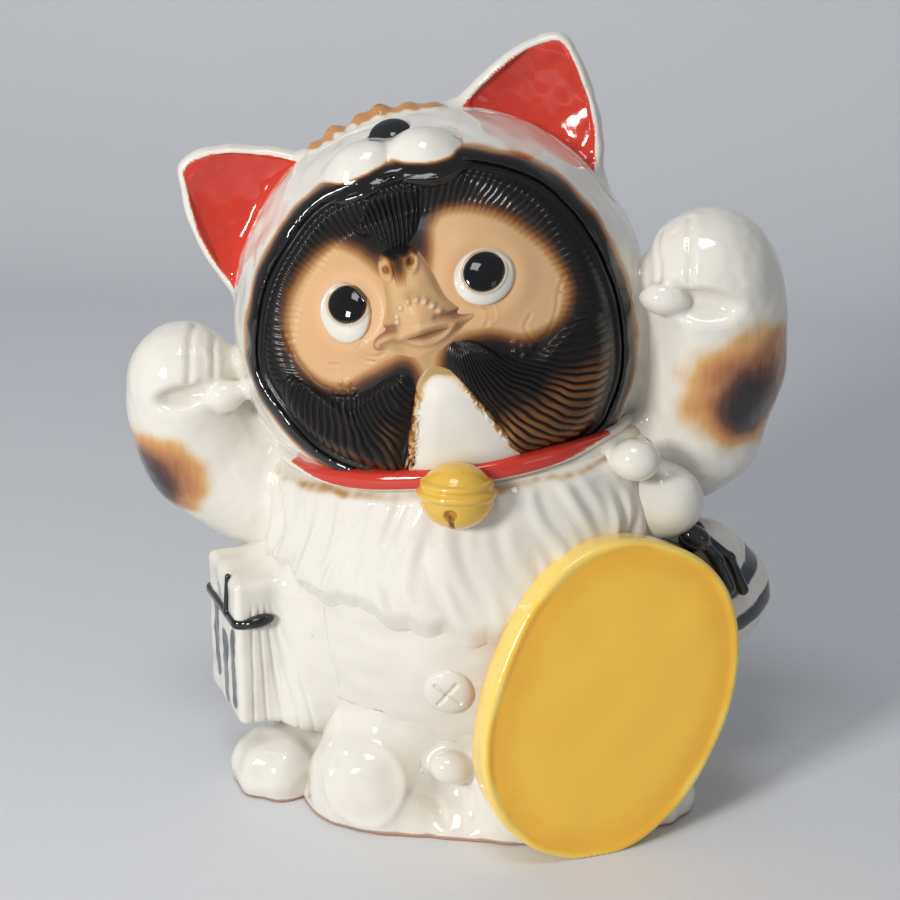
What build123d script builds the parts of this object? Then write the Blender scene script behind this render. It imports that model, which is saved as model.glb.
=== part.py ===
from build123d import *
import os
from math import sin, cos, acos, degrees, radians, sqrt

os.makedirs("parts", exist_ok=True)

# Body: hollow cast barrel on an open foot ring (mm)
WALL = 8.0
FOOT_RING_RADIUS = 78.3
FOOT_RING_HEIGHT = 23.5
HIP_RADIUS = 86.5
HIP_RISE = 20.6
BELLY_RADIUS = 91.0
BELLY_RISE = 22.0
BELLY_BAND = 29.4
CHEST_RADIUS = 86.9
CHEST_RISE = 29.4
NECK_LIP = 7.4
NECK_RISE = 22.1
NECK_TILT = 7.0
NECK_HOLE_RADIUS = 36.0
NECK_LEDGE = 6.0
SEAT_DEPTH = 5.0

# Head: hollow cast hood, rolled toward the raised right paw
HOOD_RADIUS = 84.0
HEAD_RISE = 42.6
HEAD_SHIFT_X = -14.0
HEAD_SHIFT_Y = -9.0
HEAD_YAW = 6.0
HEAD_ROLL = -14.0
HEAD_PITCH = -6.0

# Face mask set in a rebate of the hood
FACE_WIDTH = 142.0
FACE_HEIGHT = 120.0
FACE_SHIFT = 1.0
FACE_RAISE = 2.5
FACE_REBATE = 48.0
FACE_LEDGE = 12.0
FACE_PROUD = 38.0
DOME_RADIUS = 99.0
DOME_DROP = 12.0
RING_LIP = 4.5
RING_SLOPE = 30.0
RING_SET_BACK = 2.0

# Ears of the hood
EAR_HEIGHT = 40.5
EAR_WIDTH = 70.0
EAR_BULGE = 4.0
EAR_THICKNESS = 17.0
EAR_RIM = 5.0
EAR_FLOOR = 6.0
EAR_ROOT = 13.5
EAR_TIP_ROUND = 7.0
EAR_TIP_SHIFT = 6.0
LEFT_EAR_ANGLE = 40.0
RIGHT_EAR_ANGLE = -49.4

# Cat muzzle, nose and crest on the hood's brow
MUZZLE_LOBE_RADIUS = 15.0
MUZZLE_SPREAD = 10.0
MUZZLE_ABOVE_BROW = 11.9
MUZZLE_SINK = 4.0
HOOD_NOSE_RADIUS = 8.0
HOOD_NOSE_ABOVE_BROW = 19.9
HOOD_NOSE_SINK = 1.0
CREST_HEIGHT = 4.5
CREST_VALLEY = 2.0
CREST_WIDTH = 9.0
CREST_START = -20.0
CREST_STEP = 5.5
CREST_TEETH = 7
CREST_ABOVE_BROW = 37.9

# Face features
EYE_SPACING = 51.0
EYE_HEIGHT = 19.0
EYE_RADIUS = 12.5
EYE_SINK = 5.75
SNOUT_RADIUS = 17.0
SNOUT_LENGTH = 42.0
SNOUT_HEIGHT = 14.0
SNOUT_SHIFT = -1.0
SNOUT_PITCH = 12.0
MOUTH_WIDTH = 42.0
MOUTH_RADIUS = 8.5
MOUTH_HEIGHT = 2.0
MOUTH_SINK = 2.0
TUFT_WIDTH = 24.0
TUFT_TIP_WIDTH = 11.0
TUFT_LENGTH = 20.0
TUFT_MARGIN = 4.5
TUFT_THICKNESS = 3.0
CHEEK_LENGTH = 49.0
CHEEK_WIDTH = 31.0
CHEEK_TURN = 12.0
CHEEK_THICKNESS = 4.0
LEFT_CHEEK_X = 34.0
LEFT_CHEEK_DROP = 27.0
RIGHT_CHEEK_X = -36.0
RIGHT_CHEEK_DROP = 21.0
CHIN_WIDTH = 28.0
CHIN_TOP_WIDTH = 10.0
CHIN_DROP = 12.0
CHIN_THICKNESS = 2.5

# Collar, bell, ruff
COLLAR_THICKNESS = 10.0
COLLAR_BITE = 0.4
BELL_RADIUS = 13.5
BELL_SHIFT = 3.0
BELL_DROP = 4.7
BELL_OUT = 7.4
BELL_BAND = 1.35
RUFF_THICKNESS = 5.0
RUFF_HEM = 3.0
RUFF_ANGLE = 136.0
RUFF_DROP = 54.4
RUFF_GAP = 4.4

# Arms and paws: points from the shoulder, to the side, forward and up
SHOULDER_DROP = 17.6
ARM_ROOT_RADIUS = 25.0
ELBOW_RADIUS = 27.0
FOREARM_RADIUS = 26.0
LEFT_WRIST_RADIUS = 24.0
RIGHT_WRIST_RADIUS = 23.0
LEFT_PAW_RADIUS = 25.5
RIGHT_PAW_RADIUS = 22.0
LEFT_THUMB_RADIUS = 8.2
RIGHT_THUMB_RADIUS = 7.0
LEFT_ARM_PATH = [(-18, -2, -20), (3, -7, 3), (9, -12, 31), (10, -17, 54), (8, -21, 67)]
RIGHT_ARM_PATH = [(-23, -6, -33), (9, -12, -31), (27, -17, -17), (32, -22, 3), (33, -27, 18)]

# Navel, pouch and feet
NAVEL_RADIUS = 10.0
NAVEL_HEIGHT = 61.7
NAVEL_PROUD = 3.5
POUCH_LOBE_RADIUS = 24.0
POUCH_SPACING = 61.0
POUCH_LOBE_HEIGHT = 14.4
POUCH_SINK = 2.0
POUCH_STAGGER = 3.0
SKIRT_HEIGHT = 9.6
SKIRT_MARGIN = 8.5
SKIRT_DEPTH = 72.0
SKIRT_SET_BACK = 16.0
POUCH_KNOB_RADIUS = 7.5
POUCH_KNOB_HEIGHT = 25.9
POUCH_KNOB_OUT = 10.8
FOOT_WIDTH = 36.0
FOOT_LENGTH = 54.0
FOOT_CENTRE_HEIGHT = 6.1
FOOT_OUT = 10.3
FOOT_AZIMUTH = 53.0
FOOT_TURN = 35.0

# Oval coin
KOBAN_LENGTH = 129.0
KOBAN_WIDTH = 99.0
KOBAN_THICKNESS = 15.0
KOBAN_EDGE = 2.5
KOBAN_AZIMUTH = 35.5
KOBAN_FACING = 27.0
KOBAN_TILT = 8.0
KOBAN_LEAN = 25.0
KOBAN_STANDOFF = 6.0
KOBAN_BOSS_RADIUS = 36.0

# Ledger with its cord
LEDGER_THICKNESS = 30.0
LEDGER_WIDTH = 46.0
LEDGER_HEIGHT = 62.0
LEDGER_EDGE = 2.0
LEDGER_LIFT = 32.2
LEDGER_BITE = 7.0
LEDGER_AZIMUTH = -60.0
LEDGER_CORD = 3.5
LEDGER_CORD_PROUD = 1.4
LEDGER_CORD_RISE = 14.9

# Flask with its stopper and cord
FLASK_RADIUS = 24.0
FLASK_LENGTH = 60.0
FLASK_NECK_RADIUS = 11.5
FLASK_BULB_RADIUS = 15.5
FLASK_BULB_DROP = 21.5
FLASK_AZIMUTH = 81.0
FLASK_HEIGHT = 80.9
FLASK_OUT = 8.6
FLASK_TOP_AZIMUTH = 52.0
FLASK_TOP_DROP = 2.9
FLASK_TOP_OUT = 4.6
STOPPER_RADIUS = 9.0
STOPPER_OUT = 4.5
FLASK_CORD = 5.0
FLASK_CORD_PROUD = 2.5

BIG = 600.0

# Small shifts a piece may settle by when it is luted on
SETTLE = [(0, 0, 0), (0.11, 0.07, 0.05), (-0.09, 0.06, 0.08), (0.05, -0.1, -0.07)]

# Neck seam, as wide as the hood is there
HOOD_NECK_RADIUS = sqrt(HOOD_RADIUS ** 2 - HEAD_RISE ** 2)
NECK_RADIUS = HOOD_NECK_RADIUS + NECK_LIP

# Barrel stations, radius and height, from the floor to above the neck seam
HIP_HEIGHT = FOOT_RING_HEIGHT + HIP_RISE
BELLY_LOW = HIP_HEIGHT + BELLY_RISE
BELLY_HIGH = BELLY_LOW + BELLY_BAND
CHEST_HEIGHT = BELLY_HIGH + CHEST_RISE
NECK_HEIGHT = CHEST_HEIGHT + NECK_RISE
NECK_SLOPE = (CHEST_RADIUS - NECK_RADIUS) / NECK_RISE
CAP_HEIGHT = NECK_HEIGHT + 2 * NECK_RADIUS * sin(radians(abs(NECK_TILT)))
CAP_RADIUS = NECK_RADIUS - 1.7 * NECK_SLOPE * (CAP_HEIGHT - NECK_HEIGHT)
STATIONS = [
    (FOOT_RING_RADIUS, 0.0),
    (FOOT_RING_RADIUS, FOOT_RING_HEIGHT),
    (HIP_RADIUS, HIP_HEIGHT),
    (BELLY_RADIUS, BELLY_LOW),
    (BELLY_RADIUS, BELLY_HIGH),
    (CHEST_RADIUS, CHEST_HEIGHT),
    (NECK_RADIUS, NECK_HEIGHT),
    (CAP_RADIUS, CAP_HEIGHT),
]


def body_r(z):
    """Barrel radius at height z."""
    for (r0, z0), (r1, z1) in zip(STATIONS, STATIONS[1:]):
        if z <= z1:
            return r0 + (r1 - r0) * (z - z0) / (z1 - z0)
    return CAP_RADIUS


def on_body(azimuth, z, out=0.0):
    """Point on the barrel, azimuth from the front toward the figure's left."""
    r = body_r(z) + out
    a = radians(azimuth)
    return (r * sin(a), -r * cos(a), z)


def barrel(inset, z_low):
    """Solid of revolution of the body profile moved inward by inset."""
    pts = [(r - inset, z) for r, z in STATIONS]
    pts[0] = (pts[0][0], z_low)
    outer = Spline(*pts)
    top = Line(pts[-1], (0, CAP_HEIGHT))
    axis = Line((0, CAP_HEIGHT), (0, z_low))
    foot = Line((0, z_low), pts[0])
    face = Plane.XZ * make_face([outer, top, axis, foot])
    return revolve(face, axis=Axis.Z, revolution_arc=360)


def ball(r, x, y, z):
    """Sphere at a point."""
    return Pos(x, y, z) * Sphere(r)


def egg(radius, half_length):
    """Ellipsoid of revolution about Z."""
    arc = EllipticalCenterArc((0, 0), radius, half_length, -90, arc_size=180)
    half = make_face([arc, Line(arc @ 1, arc @ 0)])
    return revolve(Plane.XZ * half, axis=Axis.Z, revolution_arc=360)


def prism(sketch, y_front, y_back):
    """Prism along Y of a sketch drawn as seen from the front (x right, z up)."""
    return Pos(0, y_back, 0) * extrude(Plane.XZ * sketch, y_back - y_front, dir=(0, -1, 0))


def largest(shape):
    """Main solid of a cut result."""
    return max(shape.solids(), key=lambda s: s.volume)


def shared(a, b):
    """Volume that two shapes both fill."""
    common = a & b
    if not common:
        return 0.0
    return sum(solid.volume for solid in common.solids())


def seat(piece, *unders):
    """Cut a piece by everything it is set against, leaving face-to-face seats."""
    result = None
    for nudge in SETTLE:
        rest = Pos(*nudge) * piece
        for under in unders:
            rest = rest - under
        result = largest(rest)
        if all(shared(result, under) < 1.0 for under in unders):
            return result
    return result


def limb(stations):
    """Tapering limb through round sections."""
    sections = []
    last = len(stations) - 1
    for i, (p, r) in enumerate(stations):
        a = Vector(*stations[max(i - 1, 0)][0])
        b = Vector(*stations[min(i + 1, last)][0])
        z_dir = (b - a).normalized()
        x_dir = Vector(0, 1, 0).cross(z_dir).normalized()
        sections.append(Plane(origin=p, x_dir=x_dir, z_dir=z_dir) * Circle(r))
    return loft(sections)


# Common envelopes
FLOOR = Pos(0, 0, -BIG / 2) * Box(BIG, BIG, BIG)
NECK = Pos(0, 0, NECK_HEIGHT) * Rot(Y=-NECK_TILT)
ABOVE_NECK = NECK * Pos(0, 0, BIG / 2) * Box(BIG, BIG, BIG)
BELOW_NECK = NECK * Pos(0, 0, -BIG / 2) * Box(BIG, BIG, BIG)
NECK_SILL = NECK * Pos(0, 0, NECK_LEDGE - BIG / 2) * Box(BIG, BIG, BIG)
HEAD_Z = NECK_HEIGHT + HEAD_RISE
HEAD = Pos(HEAD_SHIFT_X, HEAD_SHIFT_Y, HEAD_Z) * Rot(Z=HEAD_YAW) * Rot(Y=HEAD_ROLL) * Rot(X=HEAD_PITCH)

body_env = barrel(0, 0) - ABOVE_NECK

# Body shell
UNDER_DECK = NECK * Pos(0, 0, BIG / 2 - WALL) * Box(BIG, BIG, BIG)
body_core = barrel(WALL, -WALL) - UNDER_DECK
neck_hole = Pos(HEAD_SHIFT_X / 2, HEAD_SHIFT_Y / 2, 0) * NECK * Cylinder(NECK_HOLE_RADIUS, 6 * WALL)
body_shell = largest(body_env - body_core - neck_hole)

# Head hood, worked in the head's own frame
neck_local = HEAD.inverse() * BELOW_NECK
hood_ball = Sphere(HOOD_RADIUS)
hood_env = hood_ball - neck_local
face_seat = HOOD_RADIUS - FACE_REBATE
face_at = Pos(FACE_SHIFT, FACE_RAISE)
face_outline = face_at * Ellipse(FACE_WIDTH / 2, FACE_HEIGHT / 2)
face_hole = face_at * Ellipse(FACE_WIDTH / 2 - FACE_LEDGE, FACE_HEIGHT / 2 - FACE_LEDGE)
pocket = prism(face_outline, -BIG / 2, -face_seat)
rebate = prism(face_hole, -BIG / 2, -face_seat / 2) - HEAD.inverse() * NECK_SILL
behind = Pos(0, BIG / 2 - face_seat + WALL, 0) * Box(BIG, BIG, BIG)
hood_core = Sphere(HOOD_RADIUS - WALL) & behind
head_hood = largest(hood_env - hood_core - pocket - rebate)

# Face mask: domed shell closing the rebate, its edge rolled up to the hood as a ring of fur
dome_y = DOME_RADIUS - face_seat - FACE_PROUD
dome_at = (FACE_SHIFT, dome_y, -DOME_DROP)
dome = ball(DOME_RADIUS, *dome_at)
dome_core = ball(DOME_RADIUS - WALL, *dome_at)
ring_mouth = FACE_HEIGHT / 2 - RING_LIP
ring_depth = sqrt((HOOD_RADIUS - RING_SET_BACK) ** 2 - (FACE_RAISE + ring_mouth) ** 2)
ring_slope = Rot(X=90) * Cone(ring_mouth - RING_SLOPE, ring_mouth + RING_SLOPE, 2 * RING_SLOPE)
ring_hollow = Pos(FACE_SHIFT, -ring_depth, FACE_RAISE) * ring_slope
fur_ring = (Sphere(HOOD_RADIUS - RING_SET_BACK) & pocket) - ring_hollow - neck_local
mask_env = ((dome & pocket) - neck_local) + fur_ring
face_mask = largest(mask_env - dome_core)


def on_dome(x, z, out=0.0):
    """Depth (y) of the face surface at x, z, moved outward by out."""
    r = DOME_RADIUS + out
    return dome_y - sqrt(r * r - (x - FACE_SHIFT) ** 2 - (z + DOME_DROP) ** 2)


def raised(sketch, height):
    """Pad of even height on the face surface, inside the rim."""
    skin = ball(DOME_RADIUS + height, *dome_at) - dome
    return largest((skin & prism(sketch, -BIG / 2, -face_seat) & pocket) - neck_local)


def ear_outline(inset, tip_shift):
    """Round-tipped triangle of an ear seen from the front, moved inward by inset."""
    base = HOOD_RADIUS - EAR_ROOT
    half = EAR_WIDTH / 2 - 1.15 * inset
    tip = HOOD_RADIUS + EAR_HEIGHT - 1.6 * inset
    mid = (base + tip) / 2
    left_mid = ((tip_shift - half) / 2 - 0.85 * EAR_BULGE, mid + 0.5 * EAR_BULGE)
    right_mid = ((tip_shift + half) / 2 + 0.85 * EAR_BULGE, mid + 0.5 * EAR_BULGE)
    right_side = ThreePointArc((half, base), right_mid, (tip_shift, tip))
    left_side = ThreePointArc((tip_shift, tip), left_mid, (-half, base))
    face = make_face([Line((-half, base), (half, base)), right_side, left_side])
    return fillet(face.vertices().sort_by(Axis.Y)[-1], EAR_TIP_ROUND - 0.6 * inset)


def ear(angle, tip_shift):
    """Hollowed triangular ear standing on the hood at an angle from its crown."""
    back = EAR_THICKNESS / 2
    plate = prism(ear_outline(0, tip_shift), -back, back)
    cup = prism(ear_outline(EAR_RIM, tip_shift), -EAR_THICKNESS, back - EAR_FLOOR)
    return Rot(Y=angle) * seat(plate - cup, hood_ball)


left_ear = ear(LEFT_EAR_ANGLE, -EAR_TIP_SHIFT)
right_ear = ear(RIGHT_EAR_ANGLE, EAR_TIP_SHIFT)

# Cat muzzle, nose and crest, at angles above the brow edge of the face
brow_pitch = degrees(acos((FACE_RAISE + FACE_HEIGHT / 2) / HOOD_RADIUS))
lobe_ball = Rot(X=brow_pitch - MUZZLE_ABOVE_BROW) * ball(MUZZLE_LOBE_RADIUS, 0, 0, HOOD_RADIUS - MUZZLE_SINK)
lobe_left = Rot(Y=MUZZLE_SPREAD) * lobe_ball
lobe_right = Rot(Y=-MUZZLE_SPREAD) * lobe_ball
hood_muzzle = seat(lobe_left + lobe_right, hood_ball, pocket)
nose_ball = Rot(X=brow_pitch - HOOD_NOSE_ABOVE_BROW) * ball(HOOD_NOSE_RADIUS, 0, 0, HOOD_RADIUS - HOOD_NOSE_SINK)
hood_nose = seat(nose_ball, hood_ball, lobe_left, lobe_right)
crest_end = CREST_START + CREST_STEP * (CREST_TEETH - 1)
crest_root = HOOD_RADIUS - EAR_ROOT
crest_points = [(crest_root * sin(radians(CREST_START)), crest_root * cos(radians(CREST_START)))]
for i in range(CREST_TEETH):
    a = radians(CREST_START + CREST_STEP * i)
    r = HOOD_RADIUS + (CREST_HEIGHT if i % 2 else CREST_VALLEY)
    crest_points.append((r * sin(a), r * cos(a)))
crest_points.append((crest_root * sin(radians(crest_end)), crest_root * cos(radians(crest_end))))
crest_plate = prism(Polygon(*crest_points, align=None), -CREST_WIDTH / 2, CREST_WIDTH / 2)
hood_crest = seat(Rot(X=brow_pitch - CREST_ABOVE_BROW) * crest_plate, hood_ball, nose_ball)

# Eyes, snout and fur pads on the mask
eye_x = EYE_SPACING / 2
left_eye_ball = ball(EYE_RADIUS, eye_x, on_dome(eye_x, EYE_HEIGHT, -EYE_SINK), EYE_HEIGHT)
right_eye_ball = ball(EYE_RADIUS, -eye_x, on_dome(-eye_x, EYE_HEIGHT, -EYE_SINK), EYE_HEIGHT)
left_eye = seat(left_eye_ball, dome)
right_eye = seat(right_eye_ball, dome)
snout_y = on_dome(SNOUT_SHIFT, SNOUT_HEIGHT, -SNOUT_RADIUS / 2)
snout_egg = egg(SNOUT_RADIUS, SNOUT_LENGTH / 2)
snout_env = Pos(SNOUT_SHIFT, snout_y, SNOUT_HEIGHT) * Rot(X=SNOUT_PITCH) * snout_egg
mouth_y = on_dome(SNOUT_SHIFT, MOUTH_HEIGHT, -MOUTH_SINK)
mouth_bar = Pos(SNOUT_SHIFT, mouth_y, MOUTH_HEIGHT) * Rot(Y=90) * egg(MOUTH_RADIUS, MOUTH_WIDTH / 2)
snout_env = snout_env + mouth_bar
snout = seat(snout_env, dome, left_eye_ball, right_eye_ball)
tuft_top = FACE_RAISE + FACE_HEIGHT / 2 - TUFT_MARGIN
tuft_low = tuft_top - TUFT_LENGTH
tuft_sketch = Polygon(
    (SNOUT_SHIFT - TUFT_WIDTH / 2, tuft_top),
    (SNOUT_SHIFT + TUFT_WIDTH / 2, tuft_top),
    (SNOUT_SHIFT + TUFT_TIP_WIDTH / 2 - 1.5, tuft_low),
    (SNOUT_SHIFT - TUFT_TIP_WIDTH / 2 - 1.5, tuft_low),
    align=None,
)
forehead_tuft = seat(raised(tuft_sketch, TUFT_THICKNESS), snout_env, fur_ring)
cheek_oval = Ellipse(CHEEK_LENGTH / 2, CHEEK_WIDTH / 2)
left_cheek_sketch = Pos(LEFT_CHEEK_X, -LEFT_CHEEK_DROP) * Rot(Z=CHEEK_TURN) * cheek_oval
right_cheek_sketch = Pos(RIGHT_CHEEK_X, -RIGHT_CHEEK_DROP) * Rot(Z=-CHEEK_TURN) * cheek_oval
left_cheek_tuft = seat(raised(left_cheek_sketch, CHEEK_THICKNESS), snout_env, fur_ring)
right_cheek_tuft = seat(raised(right_cheek_sketch, CHEEK_THICKNESS), snout_env, fur_ring)
chin_sketch = Polygon(
    (FACE_SHIFT - 1 - CHIN_TOP_WIDTH / 2, -CHIN_DROP),
    (FACE_SHIFT - 1 + CHIN_TOP_WIDTH / 2, -CHIN_DROP),
    (FACE_SHIFT + CHIN_WIDTH / 2, -FACE_HEIGHT / 2),
    (FACE_SHIFT - CHIN_WIDTH / 2, -FACE_HEIGHT / 2),
    align=None,
)
chin_wide = raised(chin_sketch, CHIN_THICKNESS)
chin_patch = seat(chin_wide, snout_env, left_cheek_tuft, right_cheek_tuft, fur_ring)

# Envelopes of the head in the statue's frame
hood_w = HEAD * hood_env
mask_w = HEAD * mask_env
chin_w = HEAD * chin_patch
left_cheek_w = HEAD * left_cheek_tuft
right_cheek_w = HEAD * right_cheek_tuft

# Pouch: two lobes on a low skirt, and a knob
lobe_y = -(body_r(POUCH_LOBE_HEIGHT) - POUCH_SINK)
skirt_half = POUCH_SPACING / 2 + POUCH_LOBE_RADIUS + SKIRT_MARGIN
skirt = Pos(0, lobe_y + SKIRT_SET_BACK, 0) * extrude(Ellipse(skirt_half, SKIRT_DEPTH / 2), SKIRT_HEIGHT)
skirt = fillet(skirt.edges().sort_by(Axis.Z)[-1], 0.75 * SKIRT_HEIGHT)
right_lobe = ball(POUCH_LOBE_RADIUS, -POUCH_SPACING / 2, lobe_y + POUCH_STAGGER, POUCH_LOBE_HEIGHT)
left_lobe = ball(POUCH_LOBE_RADIUS, POUCH_SPACING / 2, lobe_y, POUCH_LOBE_HEIGHT)
pouch_pair = skirt + right_lobe + left_lobe
pouch = seat(pouch_pair, body_env, FLOOR)
knob_ball = ball(POUCH_KNOB_RADIUS, 0.5, lobe_y - POUCH_KNOB_OUT, POUCH_KNOB_HEIGHT)
pouch_knob = seat(knob_ball, body_env, pouch_pair)

# Koban leaning on the belly
lean = radians(KOBAN_LEAN)
reach = sqrt((KOBAN_LENGTH / 2 * cos(lean)) ** 2 + (KOBAN_WIDTH / 2 * sin(lean)) ** 2)
koban_z = reach * cos(radians(KOBAN_TILT))
koban_p = on_body(KOBAN_AZIMUTH, koban_z, KOBAN_THICKNESS + KOBAN_STANDOFF)
koban_turn = Pos(*koban_p) * Rot(Z=KOBAN_FACING) * Rot(X=-KOBAN_TILT) * Rot(Y=KOBAN_LEAN)
koban_disc = extrude(Ellipse(KOBAN_WIDTH / 2, KOBAN_LENGTH / 2), KOBAN_THICKNESS)
koban_disc = fillet(koban_disc.edges(), KOBAN_EDGE)
boss_length = KOBAN_THICKNESS / 2 + KOBAN_STANDOFF + 2 * SEAT_DEPTH
koban_boss = Pos(0, 0, KOBAN_THICKNESS / 2 - boss_length) * extrude(Circle(KOBAN_BOSS_RADIUS), boss_length)
koban_env = koban_turn * Rot(X=90) * Pos(0, 0, -KOBAN_THICKNESS) * (koban_disc + koban_boss)
koban = seat(koban_env, body_env, pouch_pair, FLOOR)

# Collar band round the neck seam
collar_radius = HOOD_NECK_RADIUS - COLLAR_BITE
collar_at = Pos(HEAD_SHIFT_X / 2, HEAD_SHIFT_Y, 0) * NECK
collar_ring = collar_at * Torus(collar_radius, COLLAR_THICKNESS / 2)
collar = seat(collar_ring, body_env, HEAD * head_hood, mask_w, chin_w, left_cheek_w, right_cheek_w)

# Chest ruff: thick combed bib below the collar
ruff_low = NECK_HEIGHT - RUFF_DROP
ruff_high = NECK_HEIGHT - RUFF_GAP
ruff_mid = (ruff_low + ruff_high) / 2
ruff_profile = Polygon(
    (body_r(ruff_low) - SEAT_DEPTH, ruff_low),
    (body_r(ruff_low) + RUFF_HEM, ruff_low),
    (body_r(ruff_mid) + RUFF_THICKNESS, ruff_mid),
    (body_r(ruff_high) + RUFF_THICKNESS / 2, ruff_high),
    (body_r(ruff_high) - SEAT_DEPTH, ruff_high),
    align=None,
)
ruff_sweep = revolve(Plane.XZ * ruff_profile, axis=Axis.Z, revolution_arc=RUFF_ANGLE)
ruff_turned = Rot(Z=-90 - RUFF_ANGLE / 2) * ruff_sweep
chest_ruff = seat(ruff_turned, body_env, collar_ring, hood_w, mask_w, koban_env)

# Bell hung on the collar
bell_at = Pos(BELL_SHIFT, HEAD_SHIFT_Y - collar_radius - BELL_OUT, NECK_HEIGHT - BELL_DROP)
bell_env = bell_at * (Sphere(BELL_RADIUS) + Torus(0.98 * BELL_RADIUS, BELL_BAND))
bell = seat(bell_env, body_env, collar_ring, chest_ruff, mask_w, hood_w, chin_w)

# Arms, raised, with paws and thumbs
shoulder_x = body_r(NECK_HEIGHT - SHOULDER_DROP)


def arm(side, path, wrist_radius, paw_radius, thumb_radius):
    """Raised arm ending in a round paw with a thumb on its inner front."""
    points = [(side * (shoulder_x + out), y, NECK_HEIGHT + rise) for out, y, rise in path]
    radii = [ARM_ROOT_RADIUS, ELBOW_RADIUS, FOREARM_RADIUS, wrist_radius]
    px, py, pz = points[-1]
    thumb_at = (px - side * 0.73 * paw_radius, py - 0.62 * paw_radius, pz - 0.26 * paw_radius)
    paw = ball(paw_radius, px, py, pz) + ball(thumb_radius, *thumb_at)
    return limb(list(zip(points, radii))) + paw


left_arm_env = arm(1, LEFT_ARM_PATH, LEFT_WRIST_RADIUS, LEFT_PAW_RADIUS, LEFT_THUMB_RADIUS)
left_arm = seat(left_arm_env, body_env, hood_w, chest_ruff, collar_ring)
right_arm_env = arm(-1, RIGHT_ARM_PATH, RIGHT_WRIST_RADIUS, RIGHT_PAW_RADIUS, RIGHT_THUMB_RADIUS)
right_arm = seat(right_arm_env, body_env, hood_w, chest_ruff, collar_ring)

# Navel disc
navel_at = Plane(origin=on_body(0, NAVEL_HEIGHT, -SEAT_DEPTH), x_dir=(1, 0, 0), z_dir=(0, -1, 0))
navel_disc = navel_at * extrude(Circle(NAVEL_RADIUS), SEAT_DEPTH + NAVEL_PROUD)
navel = seat(navel_disc, body_env)

# Feet
foot_r = body_r(FOOT_CENTRE_HEIGHT) + FOOT_OUT
foot_a = radians(FOOT_AZIMUTH)


def foot(side):
    """Rounded foot turned outward, resting on the floor."""
    turned = Rot(Z=side * FOOT_TURN) * Rot(X=90) * egg(FOOT_WIDTH / 2, FOOT_LENGTH / 2)
    placed = Pos(side * foot_r * sin(foot_a), -foot_r * cos(foot_a), FOOT_CENTRE_HEIGHT) * turned
    return seat(placed, body_env, pouch_pair, koban_env, FLOOR)


left_foot = foot(1)
right_foot = foot(-1)

# Ledger on the right hip, with a cord round it
ledger_z = LEDGER_LIFT + LEDGER_HEIGHT / 2
ledger_p = on_body(LEDGER_AZIMUTH, ledger_z, LEDGER_THICKNESS / 2 - LEDGER_BITE)
ledger_at = Pos(*ledger_p) * Rot(Z=LEDGER_AZIMUTH)
ledger_box = Box(LEDGER_WIDTH, LEDGER_THICKNESS, LEDGER_HEIGHT)
ledger_env = ledger_at * fillet(ledger_box.edges(), LEDGER_EDGE)
ledger = seat(ledger_env, body_env, right_arm, chest_ruff, right_foot)
cord_wide = LEDGER_WIDTH + 2 * LEDGER_CORD_PROUD
cord_deep = LEDGER_THICKNESS + 2 * LEDGER_CORD_PROUD
cord_loop = ledger_at * Pos(0, 0, LEDGER_CORD_RISE) * Box(cord_wide, cord_deep, LEDGER_CORD)
ledger_cord = seat(cord_loop, ledger_env, body_env, right_arm, chest_ruff)

# Flask on the left hip, tied with a cord, stopper at the top
flask_p = Vector(*on_body(FLASK_AZIMUTH, FLASK_HEIGHT, FLASK_OUT))
flask_top = Vector(*on_body(FLASK_TOP_AZIMUTH, NECK_HEIGHT - FLASK_TOP_DROP, FLASK_TOP_OUT))
flask_at = Plane(origin=flask_p, x_dir=(0, 1, 0.6), z_dir=(flask_top - flask_p).normalized())
neck_top = (flask_top - flask_p).length
neck_low = FLASK_LENGTH / 2 - FLASK_NECK_RADIUS
flask_neck = Pos(0, 0, neck_low) * extrude(Circle(FLASK_NECK_RADIUS), neck_top - neck_low)
flask_bulb = ball(FLASK_BULB_RADIUS, 0, 0, neck_top - FLASK_BULB_DROP)
flask_env = flask_at * (egg(FLASK_RADIUS, FLASK_LENGTH / 2) + flask_neck + flask_bulb)
flask_cuts = (body_env, left_arm, chest_ruff, koban, collar_ring)
flask = seat(flask_env, *flask_cuts)
stopper_env = flask_at * ball(STOPPER_RADIUS, 0, 0, neck_top + STOPPER_OUT)
flask_stopper = seat(stopper_env, flask_env, *flask_cuts)
band_low = FLASK_LENGTH / 2 - 1.0
cord_band = Pos(0, 0, band_low) * extrude(Circle(FLASK_NECK_RADIUS + FLASK_CORD_PROUD), FLASK_CORD)
flask_cord = seat(flask_at * cord_band, flask_env, *flask_cuts)

# Saved pieces
head_pieces = {
    "head_hood": head_hood,
    "face_mask": face_mask,
    "left_ear": left_ear,
    "right_ear": right_ear,
    "hood_muzzle": hood_muzzle,
    "hood_nose": hood_nose,
    "hood_crest": hood_crest,
    "left_eye": left_eye,
    "right_eye": right_eye,
    "snout": snout,
    "forehead_tuft": forehead_tuft,
    "left_cheek_tuft": left_cheek_tuft,
    "right_cheek_tuft": right_cheek_tuft,
    "chin_patch": chin_patch,
}
body_pieces = {
    "body_shell": body_shell,
    "collar": collar,
    "chest_ruff": chest_ruff,
    "bell": bell,
    "left_arm": left_arm,
    "right_arm": right_arm,
    "navel": navel,
    "pouch": pouch,
    "pouch_knob": pouch_knob,
    "left_foot": left_foot,
    "right_foot": right_foot,
    "koban": koban,
    "ledger": ledger,
    "ledger_cord": ledger_cord,
    "flask": flask,
    "flask_stopper": flask_stopper,
    "flask_cord": flask_cord,
}
for name, shape in head_pieces.items():
    export_step(HEAD * shape, f"parts/{name}.step")
for name, shape in body_pieces.items():
    export_step(shape, f"parts/{name}.step")
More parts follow.
